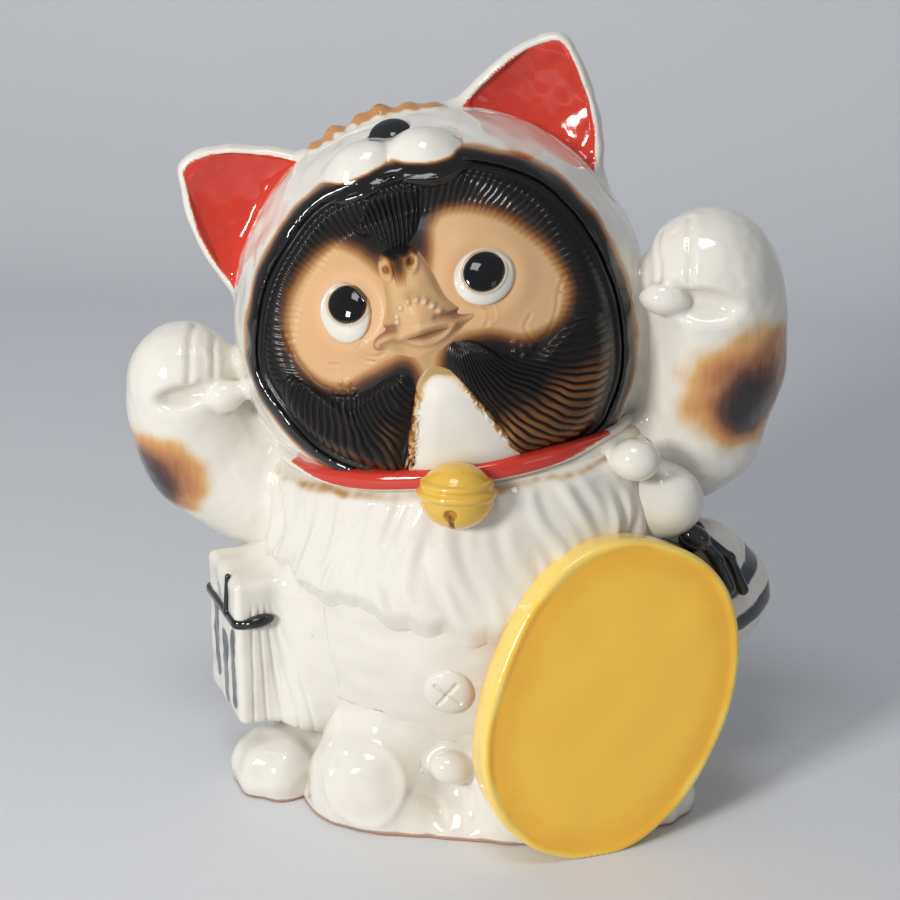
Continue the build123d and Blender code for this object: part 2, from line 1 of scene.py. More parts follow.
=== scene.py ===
"""Dressed scene of a glazed clay tanuki in a cat hood, with both paws raised."""
from __future__ import annotations

import logging
import math
from dataclasses import dataclass, field
from enum import Enum
from typing import Callable, Sequence

import bpy
import numpy as np
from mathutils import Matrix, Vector

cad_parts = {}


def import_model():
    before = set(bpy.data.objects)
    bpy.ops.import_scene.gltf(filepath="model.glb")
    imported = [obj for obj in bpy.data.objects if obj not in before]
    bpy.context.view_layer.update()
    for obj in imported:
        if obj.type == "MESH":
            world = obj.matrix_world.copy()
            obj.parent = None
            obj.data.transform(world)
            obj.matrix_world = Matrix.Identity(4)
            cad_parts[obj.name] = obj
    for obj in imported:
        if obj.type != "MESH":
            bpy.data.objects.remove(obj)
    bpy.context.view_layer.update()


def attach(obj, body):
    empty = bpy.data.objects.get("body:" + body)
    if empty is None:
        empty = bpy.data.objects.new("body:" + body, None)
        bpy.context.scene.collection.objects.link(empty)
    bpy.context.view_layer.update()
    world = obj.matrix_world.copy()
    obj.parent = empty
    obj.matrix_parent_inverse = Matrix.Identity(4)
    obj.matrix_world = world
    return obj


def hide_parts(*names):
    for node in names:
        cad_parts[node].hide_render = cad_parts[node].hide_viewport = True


LOG = logging.getLogger("figure")
Array = np.ndarray
Spot = tuple[float, float]
Point = tuple[float, float, float]
Colour = tuple[float, float, float]
Outline = Sequence[Spot]
Stops = tuple[tuple[float, Colour], ...]
Form = Callable[[Array], Array]
Height = Callable[[Array, Array, Array], Array]
Piece = bpy.types.Object
MM = 0.001
SLIP_UNDER = 0.22  # mm that a slip fillet runs out under what carries it
GLASS_IOR = 1.5
CORNERS = tuple((i, j, k) for i in (0, 1) for j in (0, 1) for k in (0, 1))


# Small number helpers


def ease(a: Array, low: float, high: float) -> Array:
    """Smooth step from 0 at low to 1 at high."""
    t = np.clip((a - low) / (high - low), 0.0, 1.0)
    return t * t * (3.0 - 2.0 * t)


def mound(d: Array, width: float) -> Array:
    """Round mound of height 1 where d is 0."""
    return np.exp(-((d / width) ** 2))


def turned(z: float = 0.0, y: float = 0.0, x: float = 0.0) -> Array:
    """Rotation matrix of turns about X, then Y, then Z.

    Args:
        z: Last turn, about Z, in degrees.
        y: Middle turn, about Y, in degrees.
        x: First turn, about X, in degrees.

    Returns:
        Matrix of three rows and columns.
    """
    cz, sz = math.cos(math.radians(z)), math.sin(math.radians(z))
    cy, sy = math.cos(math.radians(y)), math.sin(math.radians(y))
    cx, sx = math.cos(math.radians(x)), math.sin(math.radians(x))
    rz = np.array([[cz, -sz, 0.0], [sz, cz, 0.0], [0.0, 0.0, 1.0]])
    ry = np.array([[cy, 0.0, sy], [0.0, 1.0, 0.0], [-sy, 0.0, cy]])
    rx = np.array([[1.0, 0.0, 0.0], [0.0, cx, -sx], [0.0, sx, cx]])
    return rz @ ry @ rx


def lumps(p: Array, size: float, seed: int, waves: int = 14) -> Array:
    """Seeded smooth unevenness of about unit size.

    Args:
        p: Points.
        size: Typical distance between two lumps in mm.
        seed: Number that fixes the pattern.
        waves: How many waves are added up.

    Returns:
        One value per point.
    """
    rng = np.random.default_rng(seed)
    k = rng.normal(size=(waves, p.shape[-1]))
    k /= np.linalg.norm(k, axis=1, keepdims=True)
    k *= 2.0 * math.pi / size * rng.uniform(0.7, 1.4, (waves, 1))
    phase = rng.uniform(0.0, 2.0 * math.pi, waves)
    return np.sin(p @ k.T + phase).sum(axis=-1) / math.sqrt(waves / 2.0)


def between(a: Array, b: Array, c: Array, d: Array, t: Array) -> Array:
    """Smooth curve from b, at t of 0, to c, at 1, that comes from a and heads for d."""
    bend = (2 * a - 5 * b + 4 * c - d) * t**2
    return 0.5 * (2 * b + (c - a) * t + bend + (3 * b - a - 3 * c + d) * t**3)


def round_outline(points: Outline, count: int = 240) -> Array:
    """Closed smooth curve through outline points.

    Args:
        points: Corner points of the outline, in order.
        count: Number of points on the curve.

    Returns:
        Array of count points.
    """
    pts = np.asarray(points, float)
    n = len(pts)
    u = np.linspace(0.0, n, count, endpoint=False)
    i = u.astype(int)
    a, b, c, d = (pts[(i + k) % n] for k in (-1, 0, 1, 2))
    return between(a, b, c, d, (u - i)[:, None])


def fence(x: Array, z: Array, outline: Array) -> Array:
    """Signed distance to a closed outline, negative inside.

    Args:
        x: First coordinates.
        z: Second coordinates.
        outline: Closed outline, one point per row.

    Returns:
        Distances in mm.
    """
    best = np.full(np.shape(x), 1e12)
    inside = np.zeros(np.shape(x), bool)
    for (ax, az), (bx, bz) in zip(outline, np.roll(outline, -1, axis=0)):
        ex, ez = bx - ax, bz - az
        wx, wz = x - ax, z - az
        t = np.clip((wx * ex + wz * ez) / (ex * ex + ez * ez + 1e-12), 0.0, 1.0)
        best = np.minimum(best, (wx - t * ex) ** 2 + (wz - t * ez) ** 2)
        if az != bz:
            crosses = (az <= z) != (bz <= z)
            inside ^= crosses & (x < ax + (z - az) / (bz - az) * ex)
    return np.where(inside, -1.0, 1.0) * np.sqrt(best)


def bowed(points: Outline, count: int = 20) -> list[Spot]:
    """Open smooth curve through points.

    Args:
        points: Points that the curve goes through.
        count: Number of points on the curve.

    Returns:
        Points on the curve, in order.
    """
    pts = np.asarray(points, float)
    t = np.linspace(0.0, len(pts) - 1.0, count)
    i = np.minimum(t.astype(int), len(pts) - 2)
    ends = np.vstack([2 * pts[0] - pts[1], pts, 2 * pts[-1] - pts[-2]])
    a, b, c, d = (ends[i + k] for k in range(4))
    return [tuple(v) for v in between(a, b, c, d, (t - i)[:, None])]


def trail(x: Array, z: Array, points: Outline) -> Array:
    """Distance to an open line in a plane.

    Args:
        x: First coordinates.
        z: Second coordinates.
        points: Points along the line.

    Returns:
        Distances in mm.
    """
    best = np.full(np.shape(x), 1e12)
    for (ax, az), (bx, bz) in zip(points, points[1:]):
        ex, ez = bx - ax, bz - az
        t = np.clip(((x - ax) * ex + (z - az) * ez) / (ex * ex + ez * ez), 0.0, 1.0)
        best = np.minimum(best, (x - ax - t * ex) ** 2 + (z - az - t * ez) ** 2)
    return np.sqrt(best)


# Clay forms as distance fields, negative inside, in mm


def ball(p: Array, centre: Point | Array, radius: float) -> Array:
    """Distance to a ball."""
    return np.linalg.norm(p - np.asarray(centre), axis=-1) - radius


def egg(p: Array, centre: Point | Array, radii: Point, turn: Array | None = None) -> Array:
    """Distance to an egg with three half sizes.

    Args:
        p: Points.
        centre: Middle of the egg.
        radii: Half sizes along its own axes.
        turn: Rotation of its axes, or None.

    Returns:
        Approximate distances.
    """
    q = p - np.asarray(centre)
    if turn is not None:
        q = q @ turn
    r = np.asarray(radii)
    k0 = np.linalg.norm(q / r, axis=-1)
    k1 = np.linalg.norm(q / (r * r), axis=-1)
    return k0 * (k0 - 1.0) / np.maximum(k1, 1e-6)


def roll(p: Array, a: Point | Array, b: Point | Array, ra: float, rb: float) -> Array:
    """Distance to a round-ended roll of clay.

    Args:
        p: Points.
        a: First end of its axis.
        b: Second end.
        ra: Radius at the first end.
        rb: Radius at the second end.

    Returns:
        Distances in mm.
    """
    a_, b_ = np.asarray(a), np.asarray(b)
    e = b_ - a_
    t = np.clip((p - a_) @ e / (e @ e), 0.0, 1.0)
    return np.linalg.norm(p - a_ - t[..., None] * e, axis=-1) - (ra + t * (rb - ra))


def meld(a: Array, b: Array, soft: float) -> Array:
    """Union with a fillet of about the given size."""
    h = np.maximum(soft - np.abs(a - b), 0.0) / soft
    return np.minimum(a, b) - h * h * soft * 0.25


def carve(a: Array, b: Array, soft: float) -> Array:
    """Form a with form b cut out, edges softened."""
    return -meld(-a, b, soft)


def common(a: Array, b: Array, soft: float) -> Array:
    """What both forms fill, edges softened."""
    return -meld(-a, -b, soft)


def chain(p: Array, points: Sequence[Point | Array], radii: Sequence[float], soft: float) -> Array:
    """Distance to a limb of clay rolls.

    Args:
        p: Points.
        points: Joints of the limb, in order.
        radii: Radius at each joint.
        soft: Size of the fillets between the rolls.

    Returns:
        Distances in mm.
    """
    out = roll(p, points[0], points[1], radii[0], radii[1])
    for i in range(1, len(points) - 1):
        out = meld(out, roll(p, points[i], points[i + 1], radii[i], radii[i + 1]), soft)
    return out


def luted(piece: Array, base: Array, soft: float, bury: float = 4.0) -> Array:
    """A piece set on a base with a slip fillet that runs out under the base's skin.

    Args:
        piece: Field of the piece.
        base: Field of what carries it.
        soft: Size of the fillet.
        bury: How deep the piece reaches into the base.

    Returns:
        Field of the closed piece with its fillet.
    """
    out = meld(piece, base + SLIP_UNDER, soft)
    out = np.maximum(out, piece - soft)
    return np.maximum(out, -(base + bury))


@dataclass
class Skin:
    """A closed mesh of quads in mm with its painted layers."""

    verts: Array
    faces: Array
    paint: dict[str, Array] = field(default_factory=dict)

    def normals(self) -> Array:
        """Vertex normals, outward.

        Returns:
            One unit vector per point.
        """
        n = np.zeros_like(self.verts)
        v = self.verts[self.faces]
        c = np.cross(v[:, 2] - v[:, 0], v[:, 3] - v[:, 1])
        for k in range(4):
            np.add.at(n, self.faces[:, k], c)
        return n / np.maximum(np.linalg.norm(n, axis=1, keepdims=True), 1e-9)

    def evened(self, rounds: int) -> Array:
        """Positions averaged with their neighbours.

        Args:
            rounds: How often the average is taken.

        Returns:
            The averaged positions.
        """
        pairs = np.concatenate([self.faces[:, [k, (k + 1) % 4]] for k in range(4)])
        size = len(self.verts)
        count = np.bincount(pairs[:, 0], minlength=size) + np.bincount(pairs[:, 1], minlength=size)
        out = self.verts
        for _ in range(rounds):
            total = np.empty_like(out)
            for c in range(3):
                ahead = np.bincount(pairs[:, 0], out[pairs[:, 1], c], size)
                total[:, c] = ahead + np.bincount(pairs[:, 1], out[pairs[:, 0], c], size)
            out = 0.4 * out + 0.6 * total / np.maximum(count, 1)[:, None]
        return out

    def hollows(self, rounds: int) -> Array:
        """How far each point lies in a groove, in mm, negative on ridges."""
        return ((self.evened(rounds) - self.verts) * self.normals()).sum(axis=1)

    def swell(self, amount: Array) -> None:
        """Moves every point along its normal."""
        self.verts = self.verts + self.normals() * np.asarray(amount)[:, None]

    def flip(self) -> None:
        """Turns every face over."""
        self.faces = self.faces[:, ::-1]

    def stand(self) -> None:
        """Sets the skin on the floor and bares the clay along its foot."""
        self.verts[:, 2] = np.maximum(self.verts[:, 2], 0.0)
        self.paint["bare"] = 0.9 * ease(-self.verts[:, 2], -1.6, -0.3)


def crossed(f: Array, cells: Array) -> Array:
    """Mean place, in each cell, of where its edges cross the surface.

    Args:
        f: Field on the grid.
        cells: Lowest corner of each cell, as grid numbers.

    Returns:
        Places from the lowest corner, in cell sizes.
    """
    total = np.zeros((len(cells), 3))
    hits = np.zeros(len(cells))
    for corner in CORNERS:
        for axis, step in enumerate(np.eye(3, dtype=int)):
            if corner[axis]:
                continue
            near = f[tuple((cells + corner).T)]
            far = f[tuple((cells + corner + step).T)]
            m = (near < 0.0) != (far < 0.0)
            spot = np.tile(np.asarray(corner, float), (m.sum(), 1))
            spot[:, axis] = near[m] / (near[m] - far[m])
            total[m] += spot
            hits[m] += 1
    return total / hits[:, None]


def quads(solid: Array, number: Array) -> Array:
    """Faces that join the four cells round each crossed grid edge.

    Args:
        solid: Which grid points lie inside the form.
        number: Number of each cell's point.

    Returns:
        Four point numbers per face.
    """
    faces = []
    for axis in range(3):
        u, v = (axis + 1) % 3, (axis + 2) % 3
        here, there = [slice(1, -1)] * 3, [slice(1, -1)] * 3
        here[axis], there[axis] = slice(0, -1), slice(1, None)
        at = np.argwhere(solid[tuple(here)] != solid[tuple(there)])
        at[:, [u, v]] += 1
        du, dv = np.eye(3, dtype=int)[[u, v]]
        quad = np.stack([number[tuple((at - o).T)] for o in (du + dv, dv, 0 * du, du)], axis=1)
        flip = ~solid[tuple(at.T)]
        quad[flip] = quad[flip][:, ::-1]
        faces.append(quad)
    return np.concatenate(faces)


def settled(points: Array, shape: Form, step: float) -> Array:
    """Points moved onto the surface of a field.

    Args:
        points: Points near the surface.
        shape: Field of the form.
        step: Cell size in mm.

    Returns:
        The moved points.
    """
    h = 0.35 * step
    for _ in range(2):
        pairs = [(shape(points + h * e), shape(points - h * e)) for e in np.eye(3)]
        slope = np.stack([(ahead - behind) / (2 * h) for ahead, behind in pairs], axis=1)
        move = shape(points) / np.maximum((slope**2).sum(axis=1), 0.2)
        points = points - np.clip(move, -0.6 * step, 0.6 * step)[:, None] * slope
    return points


def cast(shape: Form, low: Point | Array, high: Point | Array, step: float) -> Skin:
    """Mesh of a distance field, one point per crossed cell.

    Args:
        shape: Field of the form.
        low: Lowest corner of the space that holds it.
        high: Highest corner.
        step: Cell size in mm.

    Returns:
        The closed skin, settled on the field's surface.
    """
    xs, ys, zs = (np.arange(a, b + step, step) for a, b in zip(low, high))
    y, z = np.meshgrid(ys, zs, indexing="ij")
    f = np.array([shape(np.stack([np.full_like(y, x), y, z], axis=-1)) for x in xs])
    solid = f < 0.0
    nx, ny, nz = (n - 1 for n in f.shape)
    count = sum(solid[i : i + nx, j : j + ny, k : k + nz].astype(int) for i, j, k in CORNERS)
    mixed = (count > 0) & (count < len(CORNERS))
    cells = np.argwhere(mixed)
    number = np.full(mixed.shape, -1)
    number[mixed] = np.arange(len(cells))
    points = np.asarray(low) + step * (cells + crossed(f, cells))
    return Skin(settled(points, shape, step), quads(solid, number))


def lattice(points: Array, wrap: bool = False) -> Skin:
    """Skin of a grid of points, rows by columns.

    Args:
        points: Array of rows, columns and coordinates.
        wrap: True if the last column joins the first.

    Returns:
        The skin, with faces that look along rows cross columns.
    """
    rows, cols = points.shape[:2]
    i, j = np.meshgrid(np.arange(rows - 1), np.arange(cols if wrap else cols - 1), indexing="ij")
    k = (j + 1) % cols
    faces = np.stack([i * cols + j, (i + 1) * cols + j, (i + 1) * cols + k, i * cols + k], axis=-1)
    return Skin(points.reshape(-1, 3).astype(float), faces.reshape(-1, 4))


# Shader sheet


class Wire:
    """A shader value that takes part in Python expressions."""

    def __init__(self, sheet: Sheet, socket: bpy.types.NodeSocket) -> None:
        """Wraps a socket of a sheet."""
        self.sheet = sheet
        self.socket = socket

    def _math(self, operation: str, a: Wire | float, b: Wire | float) -> Wire:
        """Adds a Math node for two values."""
        return self.sheet.node("ShaderNodeMath", {"operation": operation}, {0: a, 1: b}).value()

    def __add__(self, other: Wire | float) -> Wire:
        """Sum."""
        return self._math("ADD", self, other)

    __radd__ = __add__

    def __sub__(self, other: Wire | float) -> Wire:
        """Difference."""
        return self._math("SUBTRACT", self, other)

    def __rsub__(self, other: Wire | float) -> Wire:
        """Reflected difference."""
        return self._math("SUBTRACT", other, self)

    def __mul__(self, other: Wire | float) -> Wire:
        """Product."""
        return self._math("MULTIPLY", self, other)

    __rmul__ = __mul__

    def held(self) -> Wire:
        """The value kept between 0 and 1."""
        return self.sheet.node("ShaderNodeClamp", {}, {"Value": self}).value()

    def stepped(self, low: float, high: float) -> Wire:
        """Smooth step from 0 to 1.

        Args:
            low: Value where it is 0.
            high: Value where it is 1.

        Returns:
            The stepped value.
        """
        settings = {"interpolation_type": "SMOOTHSTEP"}
        inputs = {"Value": self, "From Min": low, "From Max": high}
        return self.sheet.node("ShaderNodeMapRange", settings, inputs).value()


class Made:
    """A node that was added to a sheet."""

    def __init__(self, sheet: Sheet, node: bpy.types.Node) -> None:
        """Wraps a node of a sheet."""
        self.sheet = sheet
        self.node = node

    def value(self, name: str | int = 0) -> Wire:
        """One of the node's outputs."""
        return Wire(self.sheet, self.node.outputs[name])


class Sheet:
    """The node sheet of one material."""

    def __init__(self, name: str) -> None:
        """Starts an empty material.

        Args:
            name: Name of the material.
        """
        self.material = bpy.data.materials.new(name)
        self.material.use_nodes = True
        self.tree = self.material.node_tree
        self.tree.nodes.clear()

    def node(self, kind: str, settings: dict, inputs: dict) -> Made:
        """Adds a node.

        Args:
            kind: Blender's node type.
            settings: Properties set before anything else.
            inputs: Values or wires by socket name or index.

        Returns:
            The added node.
        """
        made = self.tree.nodes.new(kind)
        for key, value in settings.items():
            if key == "stops":
                self._stops(made, value)
            else:
                setattr(made, key, value)
        for key, value in inputs.items():
            if isinstance(value, Wire):
                self.tree.links.new(value.socket, made.inputs[key])
            elif isinstance(value, tuple) and len(value) == 3 and made.inputs[key].type == "RGBA":
                made.inputs[key].default_value = (*value, 1.0)
            else:
                made.inputs[key].default_value = value
        return Made(self, made)

    @staticmethod
    def _stops(ramp: bpy.types.Node, stops: Stops) -> None:
        """Sets the stops of a colour ramp.

        Args:
            ramp: The ramp's node.
            stops: Place and colour of each stop, in order.
        """
        elements = ramp.color_ramp.elements
        while len(elements) < len(stops):
            elements.new(0.5)
        for element, (place, colour) in zip(elements, stops):
            element.position = place
            element.color = (*colour, 1.0)

    def layer(self, name: str) -> Wire:
        """A painted layer of the mesh."""
        settings = {"attribute_type": "GEOMETRY", "attribute_name": name}
        return self.node("ShaderNodeAttribute", settings, {}).value("Fac")

    def place(self) -> Wire:
        """Position on the object, in metres."""
        return self.node("ShaderNodeTexCoord", {}, {}).value("Object")

    def cloud(self, place: Wire, size: float, detail: float = 4.0, rough: float = 0.55) -> Wire:
        """Soft noise with lumps of a size in mm."""
        inputs = {"Vector": place, "Scale": 1000.0 / size, "Detail": detail, "Roughness": rough}
        return self.node("ShaderNodeTexNoise", {}, inputs).value("Fac")

    def pinholes(self, place: Wire) -> Wire:
        """Sparse round dots about a millimetre wide.

        Args:
            place: Position on the object.

        Returns:
            Mask that is 1 in a dot.
        """
        inputs = {"Vector": place, "Scale": 105.0, "Randomness": 1.0}
        dots = self.node("ShaderNodeTexVoronoi", {"feature": "F1"}, inputs)
        chosen = self.node("ShaderNodeSeparateColor", {}, {"Color": dots.value("Color")}).value(0)
        return (1.0 - dots.value("Distance").stepped(0.03, 0.075)) * chosen.stepped(0.88, 0.92)

    def mix(self, share: Wire | float, a: Wire | Colour, b: Wire | Colour) -> Wire:
        """Colour between a and b."""
        return self.node("ShaderNodeMix", {"data_type": "RGBA"}, {0: share, 6: a, 7: b}).value(2)

    def finished(self, shader: Made) -> bpy.types.Material:
        """The material with its shader joined to the output."""
        self.node("ShaderNodeOutputMaterial", {}, {"Surface": shader.value()})
        return self.material


class Coat(Enum):
    """How the fired surface shines: specular level, coat weight and coat roughness."""

    GLOSS = (0.24, 0.70, 0.035)
    SATIN = (0.20, 0.05, 0.07)
    COMBED = (0.16, 0.14, 0.07)


@dataclass(frozen=True)
class Layer:
    """A colour brushed over a glaze where the mesh is painted with it."""

    name: str
    stops: Stops
    soften: float
    cover: float


@dataclass(frozen=True)
class Glaze:
    """A fired glaze: its body colour, what is painted over it and how it shines."""

    name: str
    colour: Colour
    thin: Colour
    pooled: Colour
    coat: Coat = Coat.GLOSS
    roughness: float = 0.10
    mottle: float = 0.35
    speckle: float = 0.25
    ripple: float = 0.10
    layers: tuple[Layer, ...] = ()

    def ground(self, s: Sheet, broad: Wire, fine: Wire, pin: Wire) -> Wire:
        """Colour of the bare glaze, thin on ridges and pooled in grooves.

        Args:
            s: Sheet of the material.
            broad: Broad clouds.
            fine: Fine clouds.
            pin: Mask of the pinholes.

        Returns:
            The colour.
        """
        hollow = s.layer("hollow")
        pool = (hollow + (fine - 0.5) * 0.35).stepped(0.15, 1.1)
        worn = (0.0 - hollow + (fine - 0.5) * 0.3).stepped(0.12, 0.9)
        tone = s.mix((broad - 0.5) * (2.0 * self.mottle) + 0.5 * self.mottle, self.colour, self.thin)
        tone = s.mix(worn * 0.45, tone, self.thin)
        tone = s.mix(pool * 0.75, tone, self.pooled)
        return s.mix(pin * self.speckle, tone, PINHOLE)

    def brushed(self, s: Sheet, tone: Wire, fine: Wire) -> Wire:
        """The colour with every painted layer over it.

        Args:
            s: Sheet of the material.
            tone: Colour under the layers.
            fine: Fine clouds that break the edges.

        Returns:
            The colour.
        """
        for layer in self.layers:
            share = s.layer(layer.name)
            edge = (share + (fine - 0.5) * layer.soften * share * (1.0 - share) * 4.0).held()
            ramp = s.node("ShaderNodeValToRGB", {"stops": layer.stops}, {"Fac": edge})
            tone = s.mix(edge.stepped(0.0, layer.cover), tone, ramp.value("Color"))
        return tone

    def shine(self, s: Sheet, rough: Wire) -> dict[str, Wire | float]:
        """Gloss of the surface, wetter on soot where the coat is satin.

        Args:
            s: Sheet of the material.
            rough: Roughness before the coat.

        Returns:
            Inputs of the shader.
        """
        level, weight, coat_rough = self.coat.value
        inputs = {"Specular IOR Level": level, "Coat Weight": weight, "Coat Roughness": coat_rough}
        if self.coat is Coat.SATIN:
            wet = s.layer("soot").stepped(0.3, 0.9)
            rough = rough - wet * 0.12
            inputs["Coat Weight"] = wet * 0.10 + weight
        inputs["Roughness"] = rough.held()
        return inputs

    def brewed(self) -> bpy.types.Material:
        """Builds the material.

        Returns:
            The finished material.
        """
        s = Sheet(self.name)
        place = s.place()
        fine = s.cloud(place, 5.0, 5.0, 0.6)
        grain = s.cloud(place, 0.9, 2.0, 0.5)
        pin = s.pinholes(place)
        tone = self.brushed(s, self.ground(s, s.cloud(place, 42.0, 3.0), fine, pin), fine)
        tone = s.mix((grain - 0.5) * 0.10, tone, GRIT)
        height = fine * 0.5 + grain * 0.08 - pin * 0.6
        relief = {"Strength": self.ripple, "Distance": 0.0012, "Height": height}
        bump = s.node("ShaderNodeBump", {}, relief).value("Normal")
        inputs = {"Base Color": tone, "Normal": bump, "IOR": GLASS_IOR, "Coat IOR": GLASS_IOR}
        inputs.update(self.shine(s, (fine - 0.5) * 0.10 + self.roughness))
        return s.finished(s.node("ShaderNodeBsdfPrincipled", {}, inputs))


PINHOLE: Colour = (0.10, 0.075, 0.05)
GRIT: Colour = (0.02, 0.02, 0.02)
CREAM_FULL: Colour = (0.735, 0.705, 0.635)
CREAM_THIN: Colour = (0.80, 0.775, 0.715)
CREAM_POOL: Colour = (0.50, 0.435, 0.32)
SOOT: Stops = (
    (0.0, (0.62, 0.44, 0.22)),
    (0.25, (0.40, 0.19, 0.065)),
    (0.5, (0.13, 0.05, 0.02)),
    (0.75, (0.022, 0.013, 0.009)),
    (1.0, (0.008, 0.007, 0.007)),
)
RUST: Stops = (
    (0.0, (0.68, 0.52, 0.25)),
    (0.28, (0.64, 0.36, 0.13)),
    (0.55, (0.46, 0.19, 0.07)),
    (0.8, (0.11, 0.04, 0.025)),
    (1.0, (0.022, 0.015, 0.014)),
)
OCHRE: Stops = ((0.0, (0.66, 0.52, 0.30)), (0.5, (0.46, 0.26, 0.08)), (1.0, (0.26, 0.11, 0.03)))
INK: Stops = ((0.0, (0.30, 0.32, 0.34)), (0.5, (0.060, 0.070, 0.082)), (1.0, (0.018, 0.021, 0.026)))
SCARLET: Stops = ((0.0, (0.66, 0.13, 0.07)), (0.6, (0.61, 0.056, 0.030)), (1.0, (0.56, 0.040, 0.022)))
BARE: Stops = ((0.0, (0.50, 0.33, 0.22)), (1.0, (0.36, 0.19, 0.11)))
PUPIL: Stops = ((0.0, (0.10, 0.06, 0.04)), (0.5, (0.006, 0.006, 0.007)), (1.0, (0.003, 0.003, 0.004)))
LID: Stops = ((0.0, (0.62, 0.46, 0.27)), (1.0, (0.56, 0.38, 0.20)))
LIP: Stops = ((0.0, (0.40, 0.19, 0.10)), (1.0, (0.17, 0.055, 0.035)))
OLIVE: Stops = ((0.0, (0.56, 0.36, 0.17)), (1.0, (0.42, 0.27, 0.11)))
TAWNY: Stops = ((0.0, (0.03, 0.014, 0.008)), (0.5, (0.11, 0.044, 0.016)), (1.0, (0.25, 0.115, 0.04)))
CHIN_CREAM: Stops = ((0.0, (0.62, 0.45, 0.25)), (1.0, CREAM_FULL))
CREST_CREAM: Stops = ((0.0, (0.62, 0.42, 0.22)), (1.0, CREAM_FULL))
# Pooled glaze and painted shade in the bell's hole and slit.
BELL_POOL_AND_SHADE: Stops = ((0.0, (0.62, 0.34, 0.04)), (1.0, (0.34, 0.12, 0.012)))
AMBER: Stops = ((0.0, (0.90, 0.50, 0.045)), (1.0, (0.88, 0.44, 0.03)))
COIN_RIM: Stops = ((0.0, (0.88, 0.57, 0.08)), (1.0, (0.92, 0.66, 0.16)))
COAT_LAYERS = (
    Layer("ochre", OCHRE, 0.10, 0.70),
    Layer("rust", RUST, 0.08, 0.34),
    Layer("soot", SOOT, 0.18, 0.22),
    Layer("ink", INK, 0.3, 0.5),
    Layer("bare", BARE, 0.3, 0.22),
)
FACE_LAYERS = (
    Layer("olive", OLIVE, 0.2, 1.0),
    Layer("lip", LIP, 0.3, 0.55),
    Layer("cream", CHIN_CREAM, 0.25, 0.3),
    Layer("soot", SOOT, 0.12, 0.22),
)


class Finish(Enum):
    """The glazes of the figure."""

    CREAM = Glaze("cream_glaze", CREAM_FULL, CREAM_THIN, CREAM_POOL, layers=COAT_LAYERS)
    EAR = Glaze(
        "ear_glaze", CREAM_FULL, CREAM_THIN, CREAM_POOL, ripple=0.22,
        layers=(Layer("red", SCARLET, 0.2, 0.22),),
    )
    FACE = Glaze(
        "face_glaze", (0.62, 0.365, 0.18), (0.69, 0.43, 0.24), (0.40, 0.19, 0.08),
        Coat.SATIN, 0.44, mottle=0.6, speckle=0.6, layers=FACE_LAYERS,
    )
    FUR = Glaze(
        "fur_glaze", (0.009, 0.008, 0.008), (0.022, 0.014, 0.010), (0.004, 0.004, 0.004),
        Coat.COMBED, 0.30, mottle=0.1, speckle=0.0, layers=(Layer("tawny", TAWNY, 0.5, 0.4),),
    )
    BLACK = Glaze(
        "black_glaze", (0.010, 0.011, 0.012), (0.03, 0.03, 0.032), (0.005, 0.005, 0.005), roughness=0.06
    )
    CREST = Glaze(
        "crest_glaze", (0.50, 0.22, 0.075), (0.60, 0.34, 0.15), (0.20, 0.07, 0.025),
        layers=(Layer("pale", CREST_CREAM, 0.4, 0.3), Layer("soot", SOOT, 0.4, 0.3)),
    )
    EYE = Glaze(
        "eye_glaze", (0.72, 0.69, 0.61), (0.78, 0.76, 0.70), (0.42, 0.32, 0.20), roughness=0.08, speckle=0.0,
        layers=(Layer("lid", LID, 0.2, 0.3), Layer("pupil", PUPIL, 0.05, 0.22)),
    )
    COLLAR = Glaze(
        "red_glaze", CREAM_FULL, CREAM_THIN, CREAM_POOL, ripple=0.2,
        layers=(Layer("red", SCARLET, 0.2, 0.22), Layer("ochre", OCHRE, 0.5, 0.95)),
    )
    BELL = Glaze(
        "bell_glaze", (0.74, 0.44, 0.055), (0.80, 0.55, 0.13), (0.50, 0.20, 0.015), speckle=0.1,
        layers=(Layer("deep", BELL_POOL_AND_SHADE, 0.3, 0.3),),
    )
    COIN = Glaze(
        "koban_glaze", (0.93, 0.54, 0.045), (0.95, 0.59, 0.07), (0.74, 0.36, 0.02),
        roughness=0.16, mottle=0.5, speckle=0.1,
        layers=(Layer("amber", AMBER, 0.5, 0.6), Layer("rim", COIN_RIM, 0.3, 0.6)),
    )


_BREWED: dict[Finish, bpy.types.Material] = {}


def glaze(finish: Finish) -> bpy.types.Material:
    """The material of a finish, made once.

    Args:
        finish: Which glaze.

    Returns:
        Its material.
    """
    if finish not in _BREWED:
        _BREWED[finish] = finish.value.brewed()
    return _BREWED[finish]


def fire(name: str, skin: Skin, finish: Finish, rounds: int = 10) -> Piece:
    """Turns a skin into a finished piece that stands for the CAD node of its name.

    Args:
        name: Name of the piece and of its CAD node.
        skin: Its mesh in mm, with painted layers.
        finish: Its glaze.
        rounds: How broad the grooves are that the glaze pools in.

    Returns:
        The new object.
    """
    skin.paint.setdefault("hollow", skin.hollows(rounds))
    mesh = bpy.data.meshes.new(name)
    mesh.from_pydata((skin.verts * MM).tolist(), [], skin.faces.tolist())
    mesh.polygons.foreach_set("use_smooth", np.ones(len(skin.faces), bool))
    for layer, values in skin.paint.items():
        data = mesh.attributes.new(layer, "FLOAT", "POINT").data
        data.foreach_set("value", np.asarray(values, np.float32))
    mesh.materials.append(glaze(finish))
    mesh.update()
    piece = bpy.data.objects.new(name, mesh)
    bpy.context.scene.collection.objects.link(piece)
    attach(piece, "root")
    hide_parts(name)
    return piece


# Shared places of the figure


